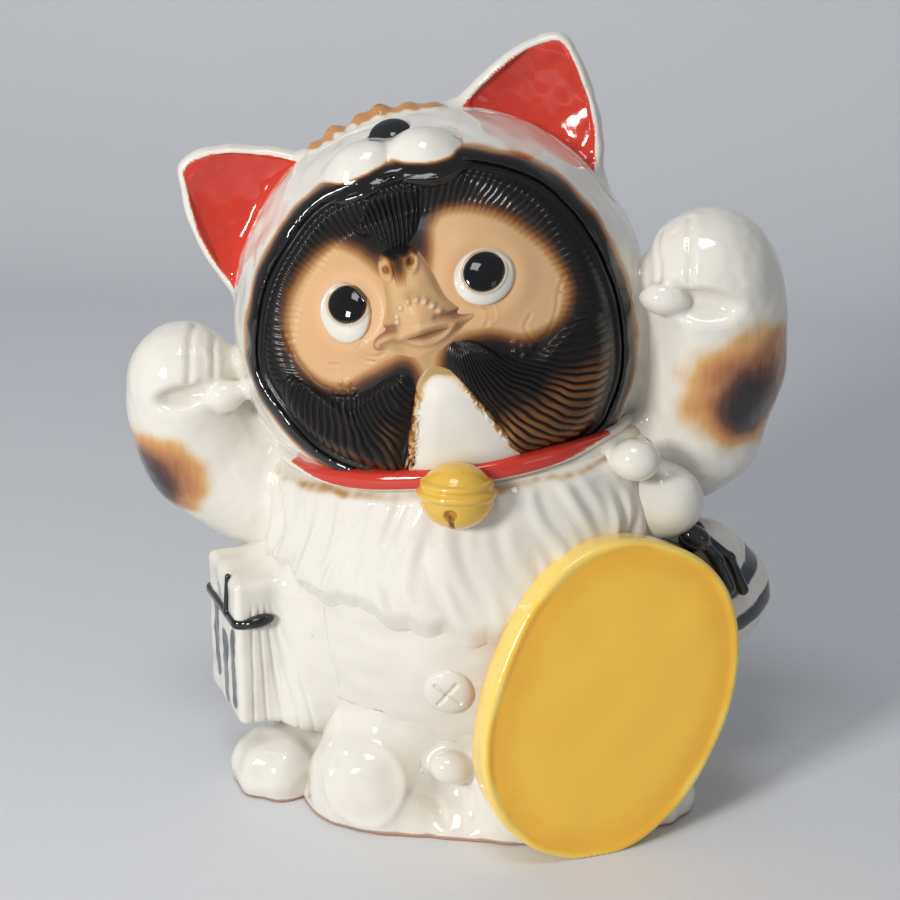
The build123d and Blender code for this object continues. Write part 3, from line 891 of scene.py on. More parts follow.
@dataclass
class Build:
    """Shared forms that the pieces are set on."""

    wall: float = 8.0
    neck_height: float = 147.0
    neck_tilt: float = 7.0
    hood_radius: float = 84.0
    head_at: Point = (-14.0, -9.0, 189.6)
    head_turn: Array = field(default_factory=lambda: turned(6.0, -14.0, -6.0))
    heights: tuple[float, ...] = (-20.0, 0.0, 23.5, 44.1, 66.1, 95.5, 124.9, 147.0, 170.0)
    radii: tuple[float, ...] = (78.3, 78.3, 78.3, 86.5, 91.0, 91.0, 86.9, 79.8, 70.0)
    soften: float = 5.5
    dome_radius: float = 99.0
    dome_at: Point = (1.0, 25.0, -12.0)
    rim: tuple[Spot, ...] = (
        (-68, 12), (-60, 31), (-48, 46), (-29, 60), (-3, 63.5), (22, 63.5), (35, 60), (53, 48), (66, 27),
        (71.5, 0), (69, -25), (61.5, -41.5), (50, -53), (22, -54), (-15, -52), (-36, -44), (-53, -32),
        (-64, -14), (-69.5, 0),
    )

    def __post_init__(self) -> None:
        """Smooths the profile and the rim once."""
        self.table_z = np.arange(-20.0, 170.0, 1.0)
        raw = np.interp(self.table_z, self.heights, self.radii)
        reach = 14
        kernel = np.exp(-0.5 * (np.arange(-reach, reach + 1) / self.soften) ** 2)
        padded = np.pad(raw, reach, mode="edge")
        self.table_r = np.convolve(padded, kernel / kernel.sum(), mode="valid")
        self.rim_line = round_outline(self.rim, 96)

    def barrel_radius(self, z: Array) -> Array:
        """Radius of the body at a height."""
        return np.interp(z, self.table_z, self.table_r)

    def seam(self, p: Array) -> Array:
        """Distance above the tilted neck seam."""
        a = math.radians(self.neck_tilt)
        return -math.sin(a) * p[..., 0] + math.cos(a) * (p[..., 2] - self.neck_height)

    def flank(self, p: Array) -> Array:
        """Outer form of the body, closed at the neck and open at the floor.

        Args:
            p: Points.

        Returns:
            Distances in mm.
        """
        r = np.hypot(p[..., 0], p[..., 1])
        side = (r - self.barrel_radius(p[..., 2])) * 0.97
        return common(side, self.seam(p), 3.0)

    def trunk(self, p: Array) -> Array:
        """Outer form of the body, closed at the floor and the neck."""
        return common(self.flank(p), -p[..., 2], 2.0)

    def to_head(self, p: Array) -> Array:
        """Points in the head's own frame."""
        return (p - np.asarray(self.head_at)) @ self.head_turn

    def from_head(self, q: Array) -> Array:
        """Points of the head's own frame in the figure's frame."""
        return np.asarray(self.head_at) + q @ self.head_turn.T

    def hood(self, p: Array) -> Array:
        """Outer form of the hood, closed at the neck."""
        return common(ball(p, self.head_at, self.hood_radius), -self.seam(p), 3.0)

    def dome(self, x: Array, z: Array) -> Array:
        """How far the face stands in front of the head's middle plane."""
        inner = self.dome_radius**2 - (x - self.dome_at[0]) ** 2 - (z - self.dome_at[2]) ** 2
        return np.sqrt(np.maximum(inner, 1.0)) - self.dome_at[1]

    def face_depth(self, x: Array, z: Array) -> Array:
        """The same, flared to the hood at the rim.

        Args:
            x: Places across.
            z: Places up.

        Returns:
            Depths in mm.
        """
        out = fence(x, z, self.rim_line)
        shell = np.sqrt(np.maximum(self.hood_radius**2 - x**2 - z**2, 400.0)) - 2.0
        t = ease(out, -17.0, -1.0)
        return self.dome(x, z) * (1.0 - t) + shell * t


BUILD = Build()


# Sub-assemblies


class Side(Enum):
    """The figure's own sides; its left lies towards +X."""

    LEFT = 1
    RIGHT = -1

    def part(self, name: str) -> str:
        """Name of a piece on this side."""
        return f"{self.name.lower()}_{name}"


@dataclass
class Body:
    """Barrel body with its navel, pouch and feet."""

    step: float = 1.75
    navel_at: Spot = (0.0, 61.0)
    navel_radius: float = 10.2
    navel_rise: float = 3.6
    navel_tilt: float = 8.0
    lobe_radius: float = 24.0
    folds: tuple[Outline, ...] = (
        ((-14.0, 16.0), (-6.0, 11.0), (-1.0, 5.0)),
        ((6.0, 22.0), (10.0, 14.0), (10.0, 8.0)),
    )
    heel: Point = (70.7, -53.3, 0.0)
    foot_turn: float = 35.0
    foot_radii: Point = (18.0, 26.0, 18.0)
    foot_lift: Point = (0.0, 0.0, 6.5)
    toes: tuple[Point, ...] = ((-11.0, 11.5, 8.6), (0.5, 15.0, 9.6), (11.5, 12.5, 8.6))

    def barrel(self, p: Array) -> Array:
        """Hollow barrel, open at the floor.

        Args:
            p: Points.

        Returns:
            Distances in mm.
        """
        r = np.hypot(p[..., 0], p[..., 1])
        inner = r - BUILD.barrel_radius(p[..., 2]) + BUILD.wall
        return carve(BUILD.trunk(p), np.maximum(inner, BUILD.seam(p) + BUILD.wall), 2.0)

    def shell(self) -> Piece:
        """Hollow barrel on an open foot ring, faintly stained under the collar.

        Returns:
            The piece.
        """
        skin = cast(self.barrel, (-95, -95, -2.4), (95, 95, 162), self.step)
        skin.swell(0.28 * lumps(skin.verts, 34.0, 3) + 0.14 * lumps(skin.verts, 13.0, 4))
        skin.stand()
        v = skin.verts
        around = np.abs(np.degrees(np.arctan2(v[:, 0], -v[:, 1])))
        stain = ease(BUILD.seam(v), -11.0, -2.0) * ease(around, 95.0, 70.0)
        skin.paint["ochre"] = np.clip(0.4 * stain * (0.6 + 0.3 * lumps(v, 22.0, 9)), 0.0, 1.0)
        return fire("body_shell", skin, Finish.CREAM)

    def navel(self) -> Piece:
        """Raised button with two crossed strokes cut in it.

        Returns:
            The piece.
        """
        t = np.linspace(0.0, 1.0, 40)[:, None]
        a = np.linspace(0.0, 2 * math.pi, 120, endpoint=False)[None, :]
        u = t * self.navel_radius * np.cos(a)
        w = t * self.navel_radius * np.sin(a)
        rise = self.navel_rise * (1.0 - t**4) ** 0.5 + 0 * a - 0.6
        for stroke in (45.0, -45.0):
            turn = math.radians(stroke) + math.radians(self.navel_tilt)
            c, s = math.cos(turn), math.sin(turn)
            across = np.abs(u * c + w * s)
            along = np.abs(-u * s + w * c)
            rise = rise - mound(across, 0.75) * ease(along, 7.2, 6.0)
        rise = np.where(t > 0.999, -3.0, rise)
        x = self.navel_at[0] + u
        z = self.navel_at[1] + w
        depth = np.sqrt(np.maximum(BUILD.barrel_radius(z) ** 2 - x**2, 1.0))
        front = np.stack([x, -(depth + rise), z], axis=-1)
        back = np.stack([x[::-1], -(depth[::-1] - 4.0), z[::-1]], axis=-1)
        skin = lattice(np.concatenate([front, back]), wrap=True)
        skin.flip()
        return fire("navel", skin, Finish.CREAM, 6)

    def lobes(self, p: Array) -> Array:
        """The pouch's two lobes on their low skirt, luted on the body.

        Args:
            p: Points.

        Returns:
            Distances in mm.
        """
        r = self.lobe_radius
        right = egg(p, (-32.0, -73.0, 13.0), (r + 3.5, r + 0.5, r + 1.5))
        left = egg(p, (30.0, -76.0, 14.0), (r, r, r))
        skirt = egg(p, (0.0, -62.0, -2.0), (66.0, 37.0, 13.0))
        both = meld(meld(right, left, 12.0), skirt, 12.0)
        return np.maximum(luted(both, BUILD.flank(p), 13.0), -p[..., 2])

    def pouch(self) -> Piece:
        """Two lobes with a scored ring and folds.

        Returns:
            The piece.
        """
        skin = cast(self.lobes, (-78, -106, -2.0), (78, -20, 46), 1.2)
        v = skin.verts
        near = np.hypot(v[:, 0] + 33.0, v[:, 2] - 19.0)
        front = ease(-v[:, 1], 80.0, 88.0)
        skin.swell(0.7 * mound(near - 15.5, 1.6) * front + 0.25 * lumps(v, 14.0, 21))
        for fold in self.folds:
            near = trail(skin.verts[:, 0], skin.verts[:, 2], fold)
            skin.swell(-0.9 * mound(near, 1.7) * ease(-skin.verts[:, 1], 72.0, 80.0))
        skin.stand()
        return fire("pouch", skin, Finish.CREAM)

    def knob(self) -> Piece:
        """Knob over the lobes.

        Returns:
            The piece.
        """

        def form(p: Array) -> Array:
            """The knob, luted on the pouch and the body."""
            body = egg(p, (0.5, -87.5, 26.0), (8.6, 6.6, 6.4), turned(y=14.0))
            return luted(body, np.minimum(self.lobes(p), BUILD.flank(p)), 4.5, 3.0)

        skin = cast(form, (-12, -99, 14), (14, -76, 37), 0.7)
        return fire("pouch_knob", skin, Finish.CREAM, 6)

    def foot(self, side: Side) -> Piece:
        """Rounded foot with three toes, turned outward.

        Args:
            side: Which side.

        Returns:
            The piece.
        """
        turn = turned(z=self.foot_turn * side.value)
        ahead = turn @ np.array([0.0, -1.0, 0.0])
        across = turn @ np.array([1.0, 0.0, 0.0])
        heel = np.array([side.value * self.heel[0], *self.heel[1:]])
        lift = np.asarray(self.foot_lift)

        def form(p: Array) -> Array:
            """The foot, luted on the body.

            Args:
                p: Points.

            Returns:
                Distances in mm.
            """
            out = egg(p, heel + lift, self.foot_radii, turn)
            for shift, reach, size in self.toes:
                toe = heel + across * shift + ahead * reach + lift
                out = meld(out, egg(p, toe, (size - 1.0, size + 3.0, size + 4.0), turn), 6.0)
            return np.maximum(luted(out, BUILD.flank(p), 6.0), -p[..., 2])

        skin = cast(form, heel - [36, 40, 2], heel + [36, 40, 30], 1.1)
        skin.swell(0.2 * lumps(skin.verts, 11.0, 31 + side.value))
        skin.stand()
        return fire(side.part("foot"), skin, Finish.CREAM)

    def build(self) -> list[Piece]:
        """All pieces of the body."""
        front = [self.shell(), self.navel(), self.pouch(), self.knob()]
        return [*front, *(self.foot(side) for side in Side)]


@dataclass
class Arm:
    """A raised arm with a curled paw and a thumb."""

    side: Side
    stations: tuple[Point, ...]
    radii: tuple[float, ...]
    palm: tuple[Point, Point]
    thumb: tuple[Point, Point]
    grooves: tuple[tuple[Point, ...], ...]
    patch: tuple[Point, Point]
    core: tuple[Point, float]
    lean: float

    def limb(self, p: Array) -> Array:
        """Arm before it is luted on.

        Args:
            p: Points.

        Returns:
            Distances in mm.
        """
        lean = turned(y=self.lean)
        out = chain(p, self.stations, self.radii, 12.0)
        out = carve(out, egg(p, *self.palm, lean), 3.2)
        return meld(out, egg(p, *self.thumb, lean), 1.6)

    def seated(self, p: Array) -> Array:
        """Arm luted on the body and the hood."""
        return luted(self.limb(p), np.minimum(BUILD.flank(p), BUILD.hood(p)), 8.0)

    def build(self) -> list[Piece]:
        """The arm with its finger grooves and its brushed patch.

        Returns:
            The pieces.
        """
        pts = np.array(self.stations)
        reach = max(self.radii) + 12.0
        skin = cast(self.seated, pts.min(axis=0) - reach, pts.max(axis=0) + reach, 1.15)
        skin.swell(0.14 * lumps(skin.verts, 22.0, 40 + self.side.value) + 0.05 * lumps(skin.verts, 7.0, 44))
        for line in self.grooves:
            near = np.minimum.reduce([roll(skin.verts, a, c, 0.0, 0.0) for a, c in zip(line, line[1:])])
            skin.swell(-1.15 * mound(near, 1.25) + 0.35 * mound(near - 3.0, 1.8))
        v = skin.verts
        centre, radii = self.patch
        d = np.linalg.norm((v - centre) / np.asarray(radii), axis=1) + 0.035 * lumps(v, 14.0, 47)
        core_at, core_size = self.core
        core = np.linalg.norm((v - core_at) / np.array([1.0, 1.2, 1.3]), axis=1) / core_size
        hairs = 0.022 * lumps(v * np.array([1.0, 1.0, 0.22]), 3.2, 48) * ease(d, 1.05, 0.7)
        rust = 0.50 * ease(d, 1.16, 0.55) + 0.16 * ease(d, 0.9, 0.3) + 0.45 * ease(core, 1.75, 0.25)
        skin.paint["rust"] = np.clip(rust + hairs, 0.0, 1.0)
        return [fire(self.side.part("arm"), skin, Finish.CREAM)]


def arms() -> tuple[Arm, Arm]:
    """Both arms with their sizes.

    Returns:
        The left arm and the right one.
    """
    left = Arm(
        side=Side.LEFT,
        stations=((62, -4, 118), (88, -8, 148), (95, -13, 176), (95.5, -17, 200), (93.0, -22, 214.5)),
        radii=(23.0, 26.5, 26.5, 25.0, 25.5),
        palm=((84.5, -50.0, 208.2), (24.0, 10.5, 7.2)),
        thumb=((76.5, -39.6, 208.0), (9.6, 6.6, 6.4)),
        grooves=(
            ((73.0, -20.0, 233.0), (73.6, -29.0, 228.5), (74.1, -36.5, 222.1), (74.4, -40.0, 214.5)),
            ((84.5, -29.0, 236.5), (84.8, -38.8, 231.0), (85.2, -44.0, 224.4), (85.4, -47.0, 214.5)),
        ),
        patch=((112.0, -28.0, 172.0), (33.0, 42.0, 30.0)),
        core=((109.0, -33.0, 166.0), 10.5),
        lean=6.0,
    )
    right = Arm(
        side=Side.RIGHT,
        stations=((-58, -6, 113), (-92, -12, 116), (-112, -17, 131), (-117.5, -22, 150), (-118.3, -27, 165)),
        radii=(23.0, 26.0, 25.0, 22.8, 22.0),
        palm=((-108.0, -51.0, 163.4), (18.0, 9.0, 5.6)),
        thumb=((-98.2, -39.2, 160.6), (7.6, 6.6, 6.8)),
        grooves=(
            ((-113.0, -24.0, 187.0), (-111.9, -35.0, 185.0), (-110.7, -42.0, 180.0), (-110.1, -47.0, 169.5)),
            ((-105.5, -20.0, 184.0), (-104.4, -28.5, 182.6), (-103.3, -35.0, 179.2), (-102.3, -40.5, 169.5)),
        ),
        patch=((-127.0, -36.0, 126.0), (25.0, 40.0, 22.0)),
        core=((-129.0, -34.0, 121.5), 9.5),
        lean=-12.0,
    )
    return left, right


@dataclass
class Ear:
    """A triangular ear with a red hollow."""

    side: Side
    angle: float
    tip_shift: float
    half: float = 34.0
    tip: float = 121.0
    base: float = 66.0
    rim: float = 4.2
    dish: float = 7.2

    def __post_init__(self) -> None:
        """Works out the ear's turn and its outline."""
        h, s, z0 = self.half, self.tip_shift, self.base
        corners = [
            (-h, z0), (-0.92 * h + 0.10 * s, z0 + 17), (-0.65 * h + 0.5 * s, z0 + 36),
            (s - 10.5, self.tip - 5.4), (s, self.tip + 0.4), (s + 10.5, self.tip - 5.4),
            (0.65 * h + 0.5 * s, z0 + 36), (0.92 * h + 0.10 * s, z0 + 17), (h, z0),
        ]
        self.turn = turned(y=self.angle)
        self.line = round_outline(corners, 120)

    def local(self, p: Array) -> Array:
        """Points in the ear's own frame."""
        return BUILD.to_head(p) @ self.turn

    def plate(self, q: Array) -> Array:
        """Bowed plate, dished in front.

        Args:
            q: Points in its frame.

        Returns:
            Distances in mm.
        """
        d = fence(q[..., 0], q[..., 2], self.line)
        bow = 0.0016 * q[..., 0] ** 2 + 0.0010 * (q[..., 2] - 95.0) ** 2
        thick = np.abs(q[..., 1] - bow + 1.0) - 6.0
        bowl = np.hypot((q[..., 0] - 0.4 * self.tip_shift) / 27.0, (q[..., 2] - self.base - 22.0) / 26.0)
        sunk = self.dish * np.maximum(1.0 - bowl**2, 0.0)
        hollow = np.maximum(d + self.rim, q[..., 1] - bow + 4.6 - sunk)
        return carve(common(d, thick, 8.0), hollow, 2.6)

    def seated(self, p: Array) -> Array:
        """Ear luted on the hood."""
        return luted(self.plate(self.local(p)), BUILD.hood(p), 5.0)

    def build(self) -> Piece:
        """The ear with its painted hollow.

        Returns:
            The piece.
        """
        mid = BUILD.from_head(self.turn @ np.array([0.0, 0.0, 94.0]))
        skin = cast(self.seated, mid - 46.0, mid + 46.0, 1.0)
        n = self.side.value
        skin.swell(0.10 * lumps(skin.verts, 9.0, 60 + n) + 0.22 * lumps(skin.verts, 17.0, 65 + n))
        q = self.local(skin.verts)
        d = fence(q[:, 0], q[:, 2], self.line) + 0.12 * lumps(skin.verts, 11.0, 63)
        inward = ease(-skin.normals() @ (BUILD.head_turn @ self.turn)[:, 1], 0.0, 0.35)
        above = ease(np.linalg.norm(BUILD.to_head(skin.verts), axis=1), 84.2, 85.2)
        skin.paint["red"] = inward * above * ease(d, -self.rim + 0.7, -self.rim - 0.3)
        return fire(self.side.part("ear"), skin, Finish.EAR, 6)


@dataclass
class Hood:
    """Hood ball with ears, cat muzzle, nose and crest."""

    step: float = 1.4
    lobe_radii: Point = (14.6, 12.0, 10.6)
    nose_radii: Point = (11.5, 12.0, 6.5)
    peaks: tuple[Point, ...] = (
        (-22.5, 2.6, 4.2), (-16.0, 3.9, 5.0), (-8.0, 3.6, 4.4),
        (-2.5, 4.6, 5.4), (5.0, 3.0, 5.0), (11.5, 1.8, 5.0),
    )

    def hollow(self, p: Array) -> Array:
        """Hood with its wall, a soft lip and the face opening.

        Args:
            p: Points.

        Returns:
            Distances in mm.
        """
        q = BUILD.to_head(p)
        r = np.linalg.norm(q, axis=-1)
        front = q[..., 1] < -8.0
        gap = np.full(r.shape, 60.0)
        gap[front] = fence(q[..., 0][front], q[..., 2][front], BUILD.rim_line)
        lip = 1.3 * mound(gap - 3.0, 4.0)
        outer = common(r - BUILD.hood_radius - lip, -BUILD.seam(p), 2.0)
        inner = np.maximum(r - BUILD.hood_radius + BUILD.wall, -q[..., 1] - 30.0)
        hole = np.where(front, np.maximum(gap + 1.0, q[..., 1] + 12.0), 30.0)
        return carve(carve(outer, inner, 2.0), hole, 2.4)

    @staticmethod
    def char(gap: Array) -> Array:
        """Black edge and brown halo at a distance from the face's rim."""
        return np.clip(0.36 * ease(gap, 6.6, 3.4) + 0.66 * ease(gap, 4.6, 2.0), 0.0, 1.0)

    def shell(self) -> Piece:
        """Hollow hood with the face opening and its sooty edge.

        Returns:
            The piece.
        """
        skin = cast(self.hollow, (-101, -96, 128), (73, 78, 277), self.step)
        skin.swell(0.30 * lumps(skin.verts, 30.0, 51) + 0.13 * lumps(skin.verts, 12.0, 52))
        q = BUILD.to_head(skin.verts)
        gap = fence(q[:, 0], q[:, 2], BUILD.rim_line) + 0.3 * lumps(skin.verts, 16.0, 55)
        skin.paint["soot"] = ease(-q[:, 1], 5.0, 20.0) * self.char(gap)
        return fire("head_hood", skin, Finish.CREAM)

    def lobes(self, p: Array) -> Array:
        """The cat's two muzzle lobes.

        Args:
            p: Points.

        Returns:
            Distances in mm.
        """
        q = BUILD.to_head(p)
        pair = []
        for side in (-1, 1):
            seat = turned(y=10.5 * side) @ turned(x=32.0)
            at = seat @ np.array([0.0, 0.0, 80.0])
            pair.append(egg(q, at, self.lobe_radii, seat @ turned(y=3.0 * side)))
        return meld(pair[0], pair[1], 1.2)

    def muzzle(self) -> Piece:
        """Cat muzzle on the brow, sooty where it meets the face, its undersides browned partly with painted
        shade.

        Returns:
            The piece.
        """

        def form(p: Array) -> Array:
            """The lobes, luted on the hood."""
            return luted(self.lobes(p), BUILD.hood(p), 5.0)

        mid = BUILD.from_head(turned(x=31.0) @ np.array([0.0, 0.0, 82.0]))
        skin = cast(form, mid - [38, 30, 26], mid + [38, 30, 26], 0.9)
        skin.swell(0.15 * lumps(skin.verts, 12.0, 71))
        q = BUILD.to_head(skin.verts)
        edge = fence(q[:, 0], q[:, 2], BUILD.rim_line) + 0.3 * lumps(skin.verts, 9.0, 72)
        # Brown on the down-facing lobe surfaces: partly their brown edge paint, partly painted shade under
        # the overhanging lobes.
        low = ease(-skin.normals() @ BUILD.head_turn[:, 2], -0.1, 0.6)
        seat = ease(np.linalg.norm(q, axis=1) - BUILD.hood_radius, 2.6, 1.0)
        brown = low * np.clip(0.34 * ease(edge, 2.4, -1.2) + 0.5 * ease(edge, -1.5, -4.5), 0.0, 1.0)
        skin.paint["soot"] = brown * (1.0 - seat) + self.char(edge) * seat
        return fire("hood_muzzle", skin, Finish.CREAM, 6)

    def nose(self) -> Piece:
        """Black leaf-shaped nose on the muzzle.

        Returns:
            The piece.
        """
        at = turned(x=22.5) @ np.array([0.5, 0.0, 82.5])
        turn = turned(x=22.0)

        def form(p: Array) -> Array:
            """The nose, luted on the hood and the muzzle.

            Args:
                p: Points.

            Returns:
                Distances in mm.
            """
            q = BUILD.to_head(p)
            back = egg(q, at + [0, 6.5, 0.4], self.nose_radii, turn)
            leaf = common(back, egg(q, at - [0, 6.0, -1.6], self.nose_radii, turn), 1.5)
            return luted(leaf, np.minimum(BUILD.hood(p), self.lobes(p)), 1.0, 3.0)

        mid = BUILD.from_head(turn @ np.array([0.0, 0.0, 83.0]))
        skin = cast(form, mid - 17.0, mid + 17.0, 0.6)
        return fire("hood_nose", skin, Finish.BLACK, 4)

    def teeth(self, p: Array) -> Array:
        """The crest's row of blunt teeth.

        Args:
            p: Points.

        Returns:
            Distances in mm.
        """
        q = BUILD.to_head(p)
        out = None
        for angle, rise, width in self.peaks:
            turn = turned(y=angle) @ turned(x=6.0)
            one = egg(q, turn @ np.array([0.0, 0.0, 82.0]), (width, 5.5, rise + 2.2), turn)
            out = one if out is None else meld(out, one, 4.0)
        return out

    def crest(self) -> Piece:
        """Saw-tooth crest on the crown.

        Returns:
            The piece.
        """

        def form(p: Array) -> Array:
            """The teeth, luted on the hood."""
            return luted(self.teeth(p), BUILD.hood(p), 4.0, 3.0)

        mid = BUILD.from_head(turned(y=-6.0) @ turned(x=6.0) @ np.array([0.0, 0.0, 83.0]))
        skin = cast(form, mid - [40, 18, 26], mid + [40, 18, 20], 0.9)
        rise = np.linalg.norm(BUILD.to_head(skin.verts), axis=1) - BUILD.hood_radius
        skin.paint["pale"] = ease(rise + 0.4 * lumps(skin.verts, 7.0, 75), 1.3, 0.2)
        skin.paint["soot"] = 0.5 * ease(rise + 0.6 * lumps(skin.verts, 8.0, 76), 3.2, 5.2)
        return fire("hood_crest", skin, Finish.CREST, 6)

    def build(self) -> list[Piece]:
        """All pieces of the hood.

        Returns:
            The pieces.
        """
        shell = self.shell()
        ears = [Ear(Side.LEFT, 40.0, -6.0).build(), Ear(Side.RIGHT, -49.4, 6.0).build()]
        return [shell, *ears, self.muzzle(), self.nose(), self.crest()]


@dataclass
class Relief:
    """A patch of modelled clay on the face, laid out round a centre."""

    centre: Spot
    outline: Outline
    spokes: int = 360
    rings: int = 90
    back: float = 3.0
    edge: float = 0.7

    def lay(self, height: Height) -> tuple[Skin, Array, Array, Array]:
        """Lays the patch on the face.

        Args:
            height: Rise over the face at x, z and the distance from the outline.

        Returns:
            The skin, and x, z and distance inside the outline for its points.
        """
        line = round_outline(self.outline, 400) - np.asarray(self.centre)
        ang = np.arctan2(line[:, 1], line[:, 0])
        rad = np.hypot(line[:, 0], line[:, 1])
        order = np.argsort(ang)
        theta = np.linspace(-math.pi, math.pi, self.spokes, endpoint=False)
        reach = np.interp(theta, ang[order], rad[order], period=2 * math.pi)
        even = np.linspace(0.0, 1.0, self.rings)[1:]
        t = np.concatenate([[0.002], 1.0 - (1.0 - even) ** 1.25])[:, None]
        x = self.centre[0] + t * reach * np.cos(theta)
        z = self.centre[1] + t * reach * np.sin(theta)
        inside = (1.0 - t) * reach
        depth = BUILD.face_depth(x, z)
        front = np.stack([x, -(depth + height(x, z, inside)), z], axis=-1)
        skirt = np.stack([x[-1], -(depth[-1] - self.edge), z[-1]], axis=-1)[None]
        behind = np.stack([x[-1], -(depth[-1] - self.back), z[-1]], axis=-1)[None]
        pole = np.stack([x[:1], -(depth[:1] - self.back), z[:1]], axis=-1)
        skin = lattice(np.concatenate([front, skirt, behind, pole]), wrap=True)
        skin.flip()
        across, up = skin.verts[:, 0].copy(), skin.verts[:, 2].copy()
        within = np.concatenate([inside.ravel(), np.zeros(2 * self.spokes), inside[:1].ravel()])
        skin.verts = BUILD.from_head(skin.verts)
        return skin, across, up, within


@dataclass(frozen=True)
class Comb:
    """Combed strokes that run out from a centre, bending by radians per mm."""

    centre: Spot
    bend: float
    count: float
    seed: int

    def ridges(self, x: Array, z: Array) -> Array:
        """Wave of the strokes, from -1 in a groove to 1 on a ridge.

        Args:
            x: Places across.
            z: Places up.

        Returns:
            The wave.
        """
        dx, dz = x - self.centre[0], z - self.centre[1]
        r = np.hypot(dx, dz)
        p = np.stack([x, z], axis=-1)
        a = np.arctan2(dz, dx) + self.bend * (r - 30.0)
        phase = a * self.count + 1.4 * lumps(p, 28.0, self.seed)
        phase = 0.5 * (phase + 0.40 * lumps(p, 9.0, self.seed + 1))
        return 2.0 * np.abs(np.sin(phase)) ** 0.8 - 1.0


WHISKER_DOTS: Outline = (
    (-36.2, -5.4), (-33.4, -6.6), (-38.8, -9.4), (-35.8, -9.9), (-32.6, -10.4),
    (31.2, -5.2), (33.8, -7.4), (36.6, -8.4), (30.6, -8.6), (33.6, -10.6),
)


def beads(x: Array, z: Array) -> Array:
    """Rise of the small whisker dots.

    Args:
        x: Places across.
        z: Places up.

    Returns:
        Rises in mm.
    """
    out = np.zeros(np.shape(x))
    for cx, cz in WHISKER_DOTS:
        out = out + 1.6 * np.exp(-(((x - cx) ** 2 + (z - cz) ** 2) / 1.5))
    return out


@dataclass
class Eye:
    """A bulging eye with a lid ring and a raised pupil."""

    side: Side
    at: Spot
    half: Spot
    pupil: Spot
    pupil_half: Spot

    def outward(self, x: Array, z: Array) -> Array:
        """Place in the eye, from 0 in the middle to 1 at its edge."""
        return np.hypot((x - self.at[0]) / self.half[0], (z - self.at[1]) / self.half[1])

    def from_pupil(self, x: Array, z: Array) -> Array:
        """Place in the pupil, from 0 in its middle to 1 at its edge."""
        across = (x - self.at[0] - self.pupil[0]) / self.pupil_half[0]
        return np.hypot(across, (z - self.at[1] - self.pupil[1]) / self.pupil_half[1])

    def height(self, x: Array, z: Array, inside: Array) -> Array:
        """Rise of the ball, the lid and the pupil with its ring.

        Args:
            x: Places across.
            z: Places up.
            inside: Distances from the edge.

        Returns:
            Rises in mm.
        """
        u = self.outward(x, z)
        d = self.from_pupil(x, z)
        bulge = 6.6 * np.sqrt(np.maximum(1.0 - (0.9 * u) ** 2, 0.0)) - 1.7
        lid = ease(z - self.at[1], -3.0, 6.0) * (0.8 * mound(u - 0.93, 0.05))
        iris = 0.75 * ease(d, 1.06, 0.94) + 0.7 * np.sqrt(np.maximum(1.0 - np.minimum(d, 1.0) ** 2, 0.0))
        out = bulge + lid + iris + 0.45 * mound(d - 1.14, 0.06)
        return np.where(u > 0.995, -0.5, out * ease(u, 1.03, 0.90))

    def build(self) -> Piece:
        """The eye with its painted pupil and lid; the tan at its edge is partly painted shade.

        Returns:
            The piece.
        """
        angles = np.linspace(0, 2 * math.pi, 24, endpoint=False)
        (x0, z0), (w, h) = self.at, self.half
        ring = tuple((x0 + w * math.cos(a), z0 + h * math.sin(a)) for a in angles)
        skin, x, z, _ = Relief(self.at, ring, 150, 80, 3.0, 0.8).lay(self.height)
        d = self.from_pupil(x, z)
        skin.paint["pupil"] = ease(d, 1.05, 0.98)
        # The tan edge of the eye is partly its lid colour and partly painted shade where the eye sinks into
        # the face.
        edge = 0.5 * ease(self.outward(x, z), 0.95, 1.0)
        skin.paint["lid"] = np.maximum(edge, 0.26 * mound(d - 1.10, 0.06))
        return fire(self.side.part("eye"), skin, Finish.EYE, 3)


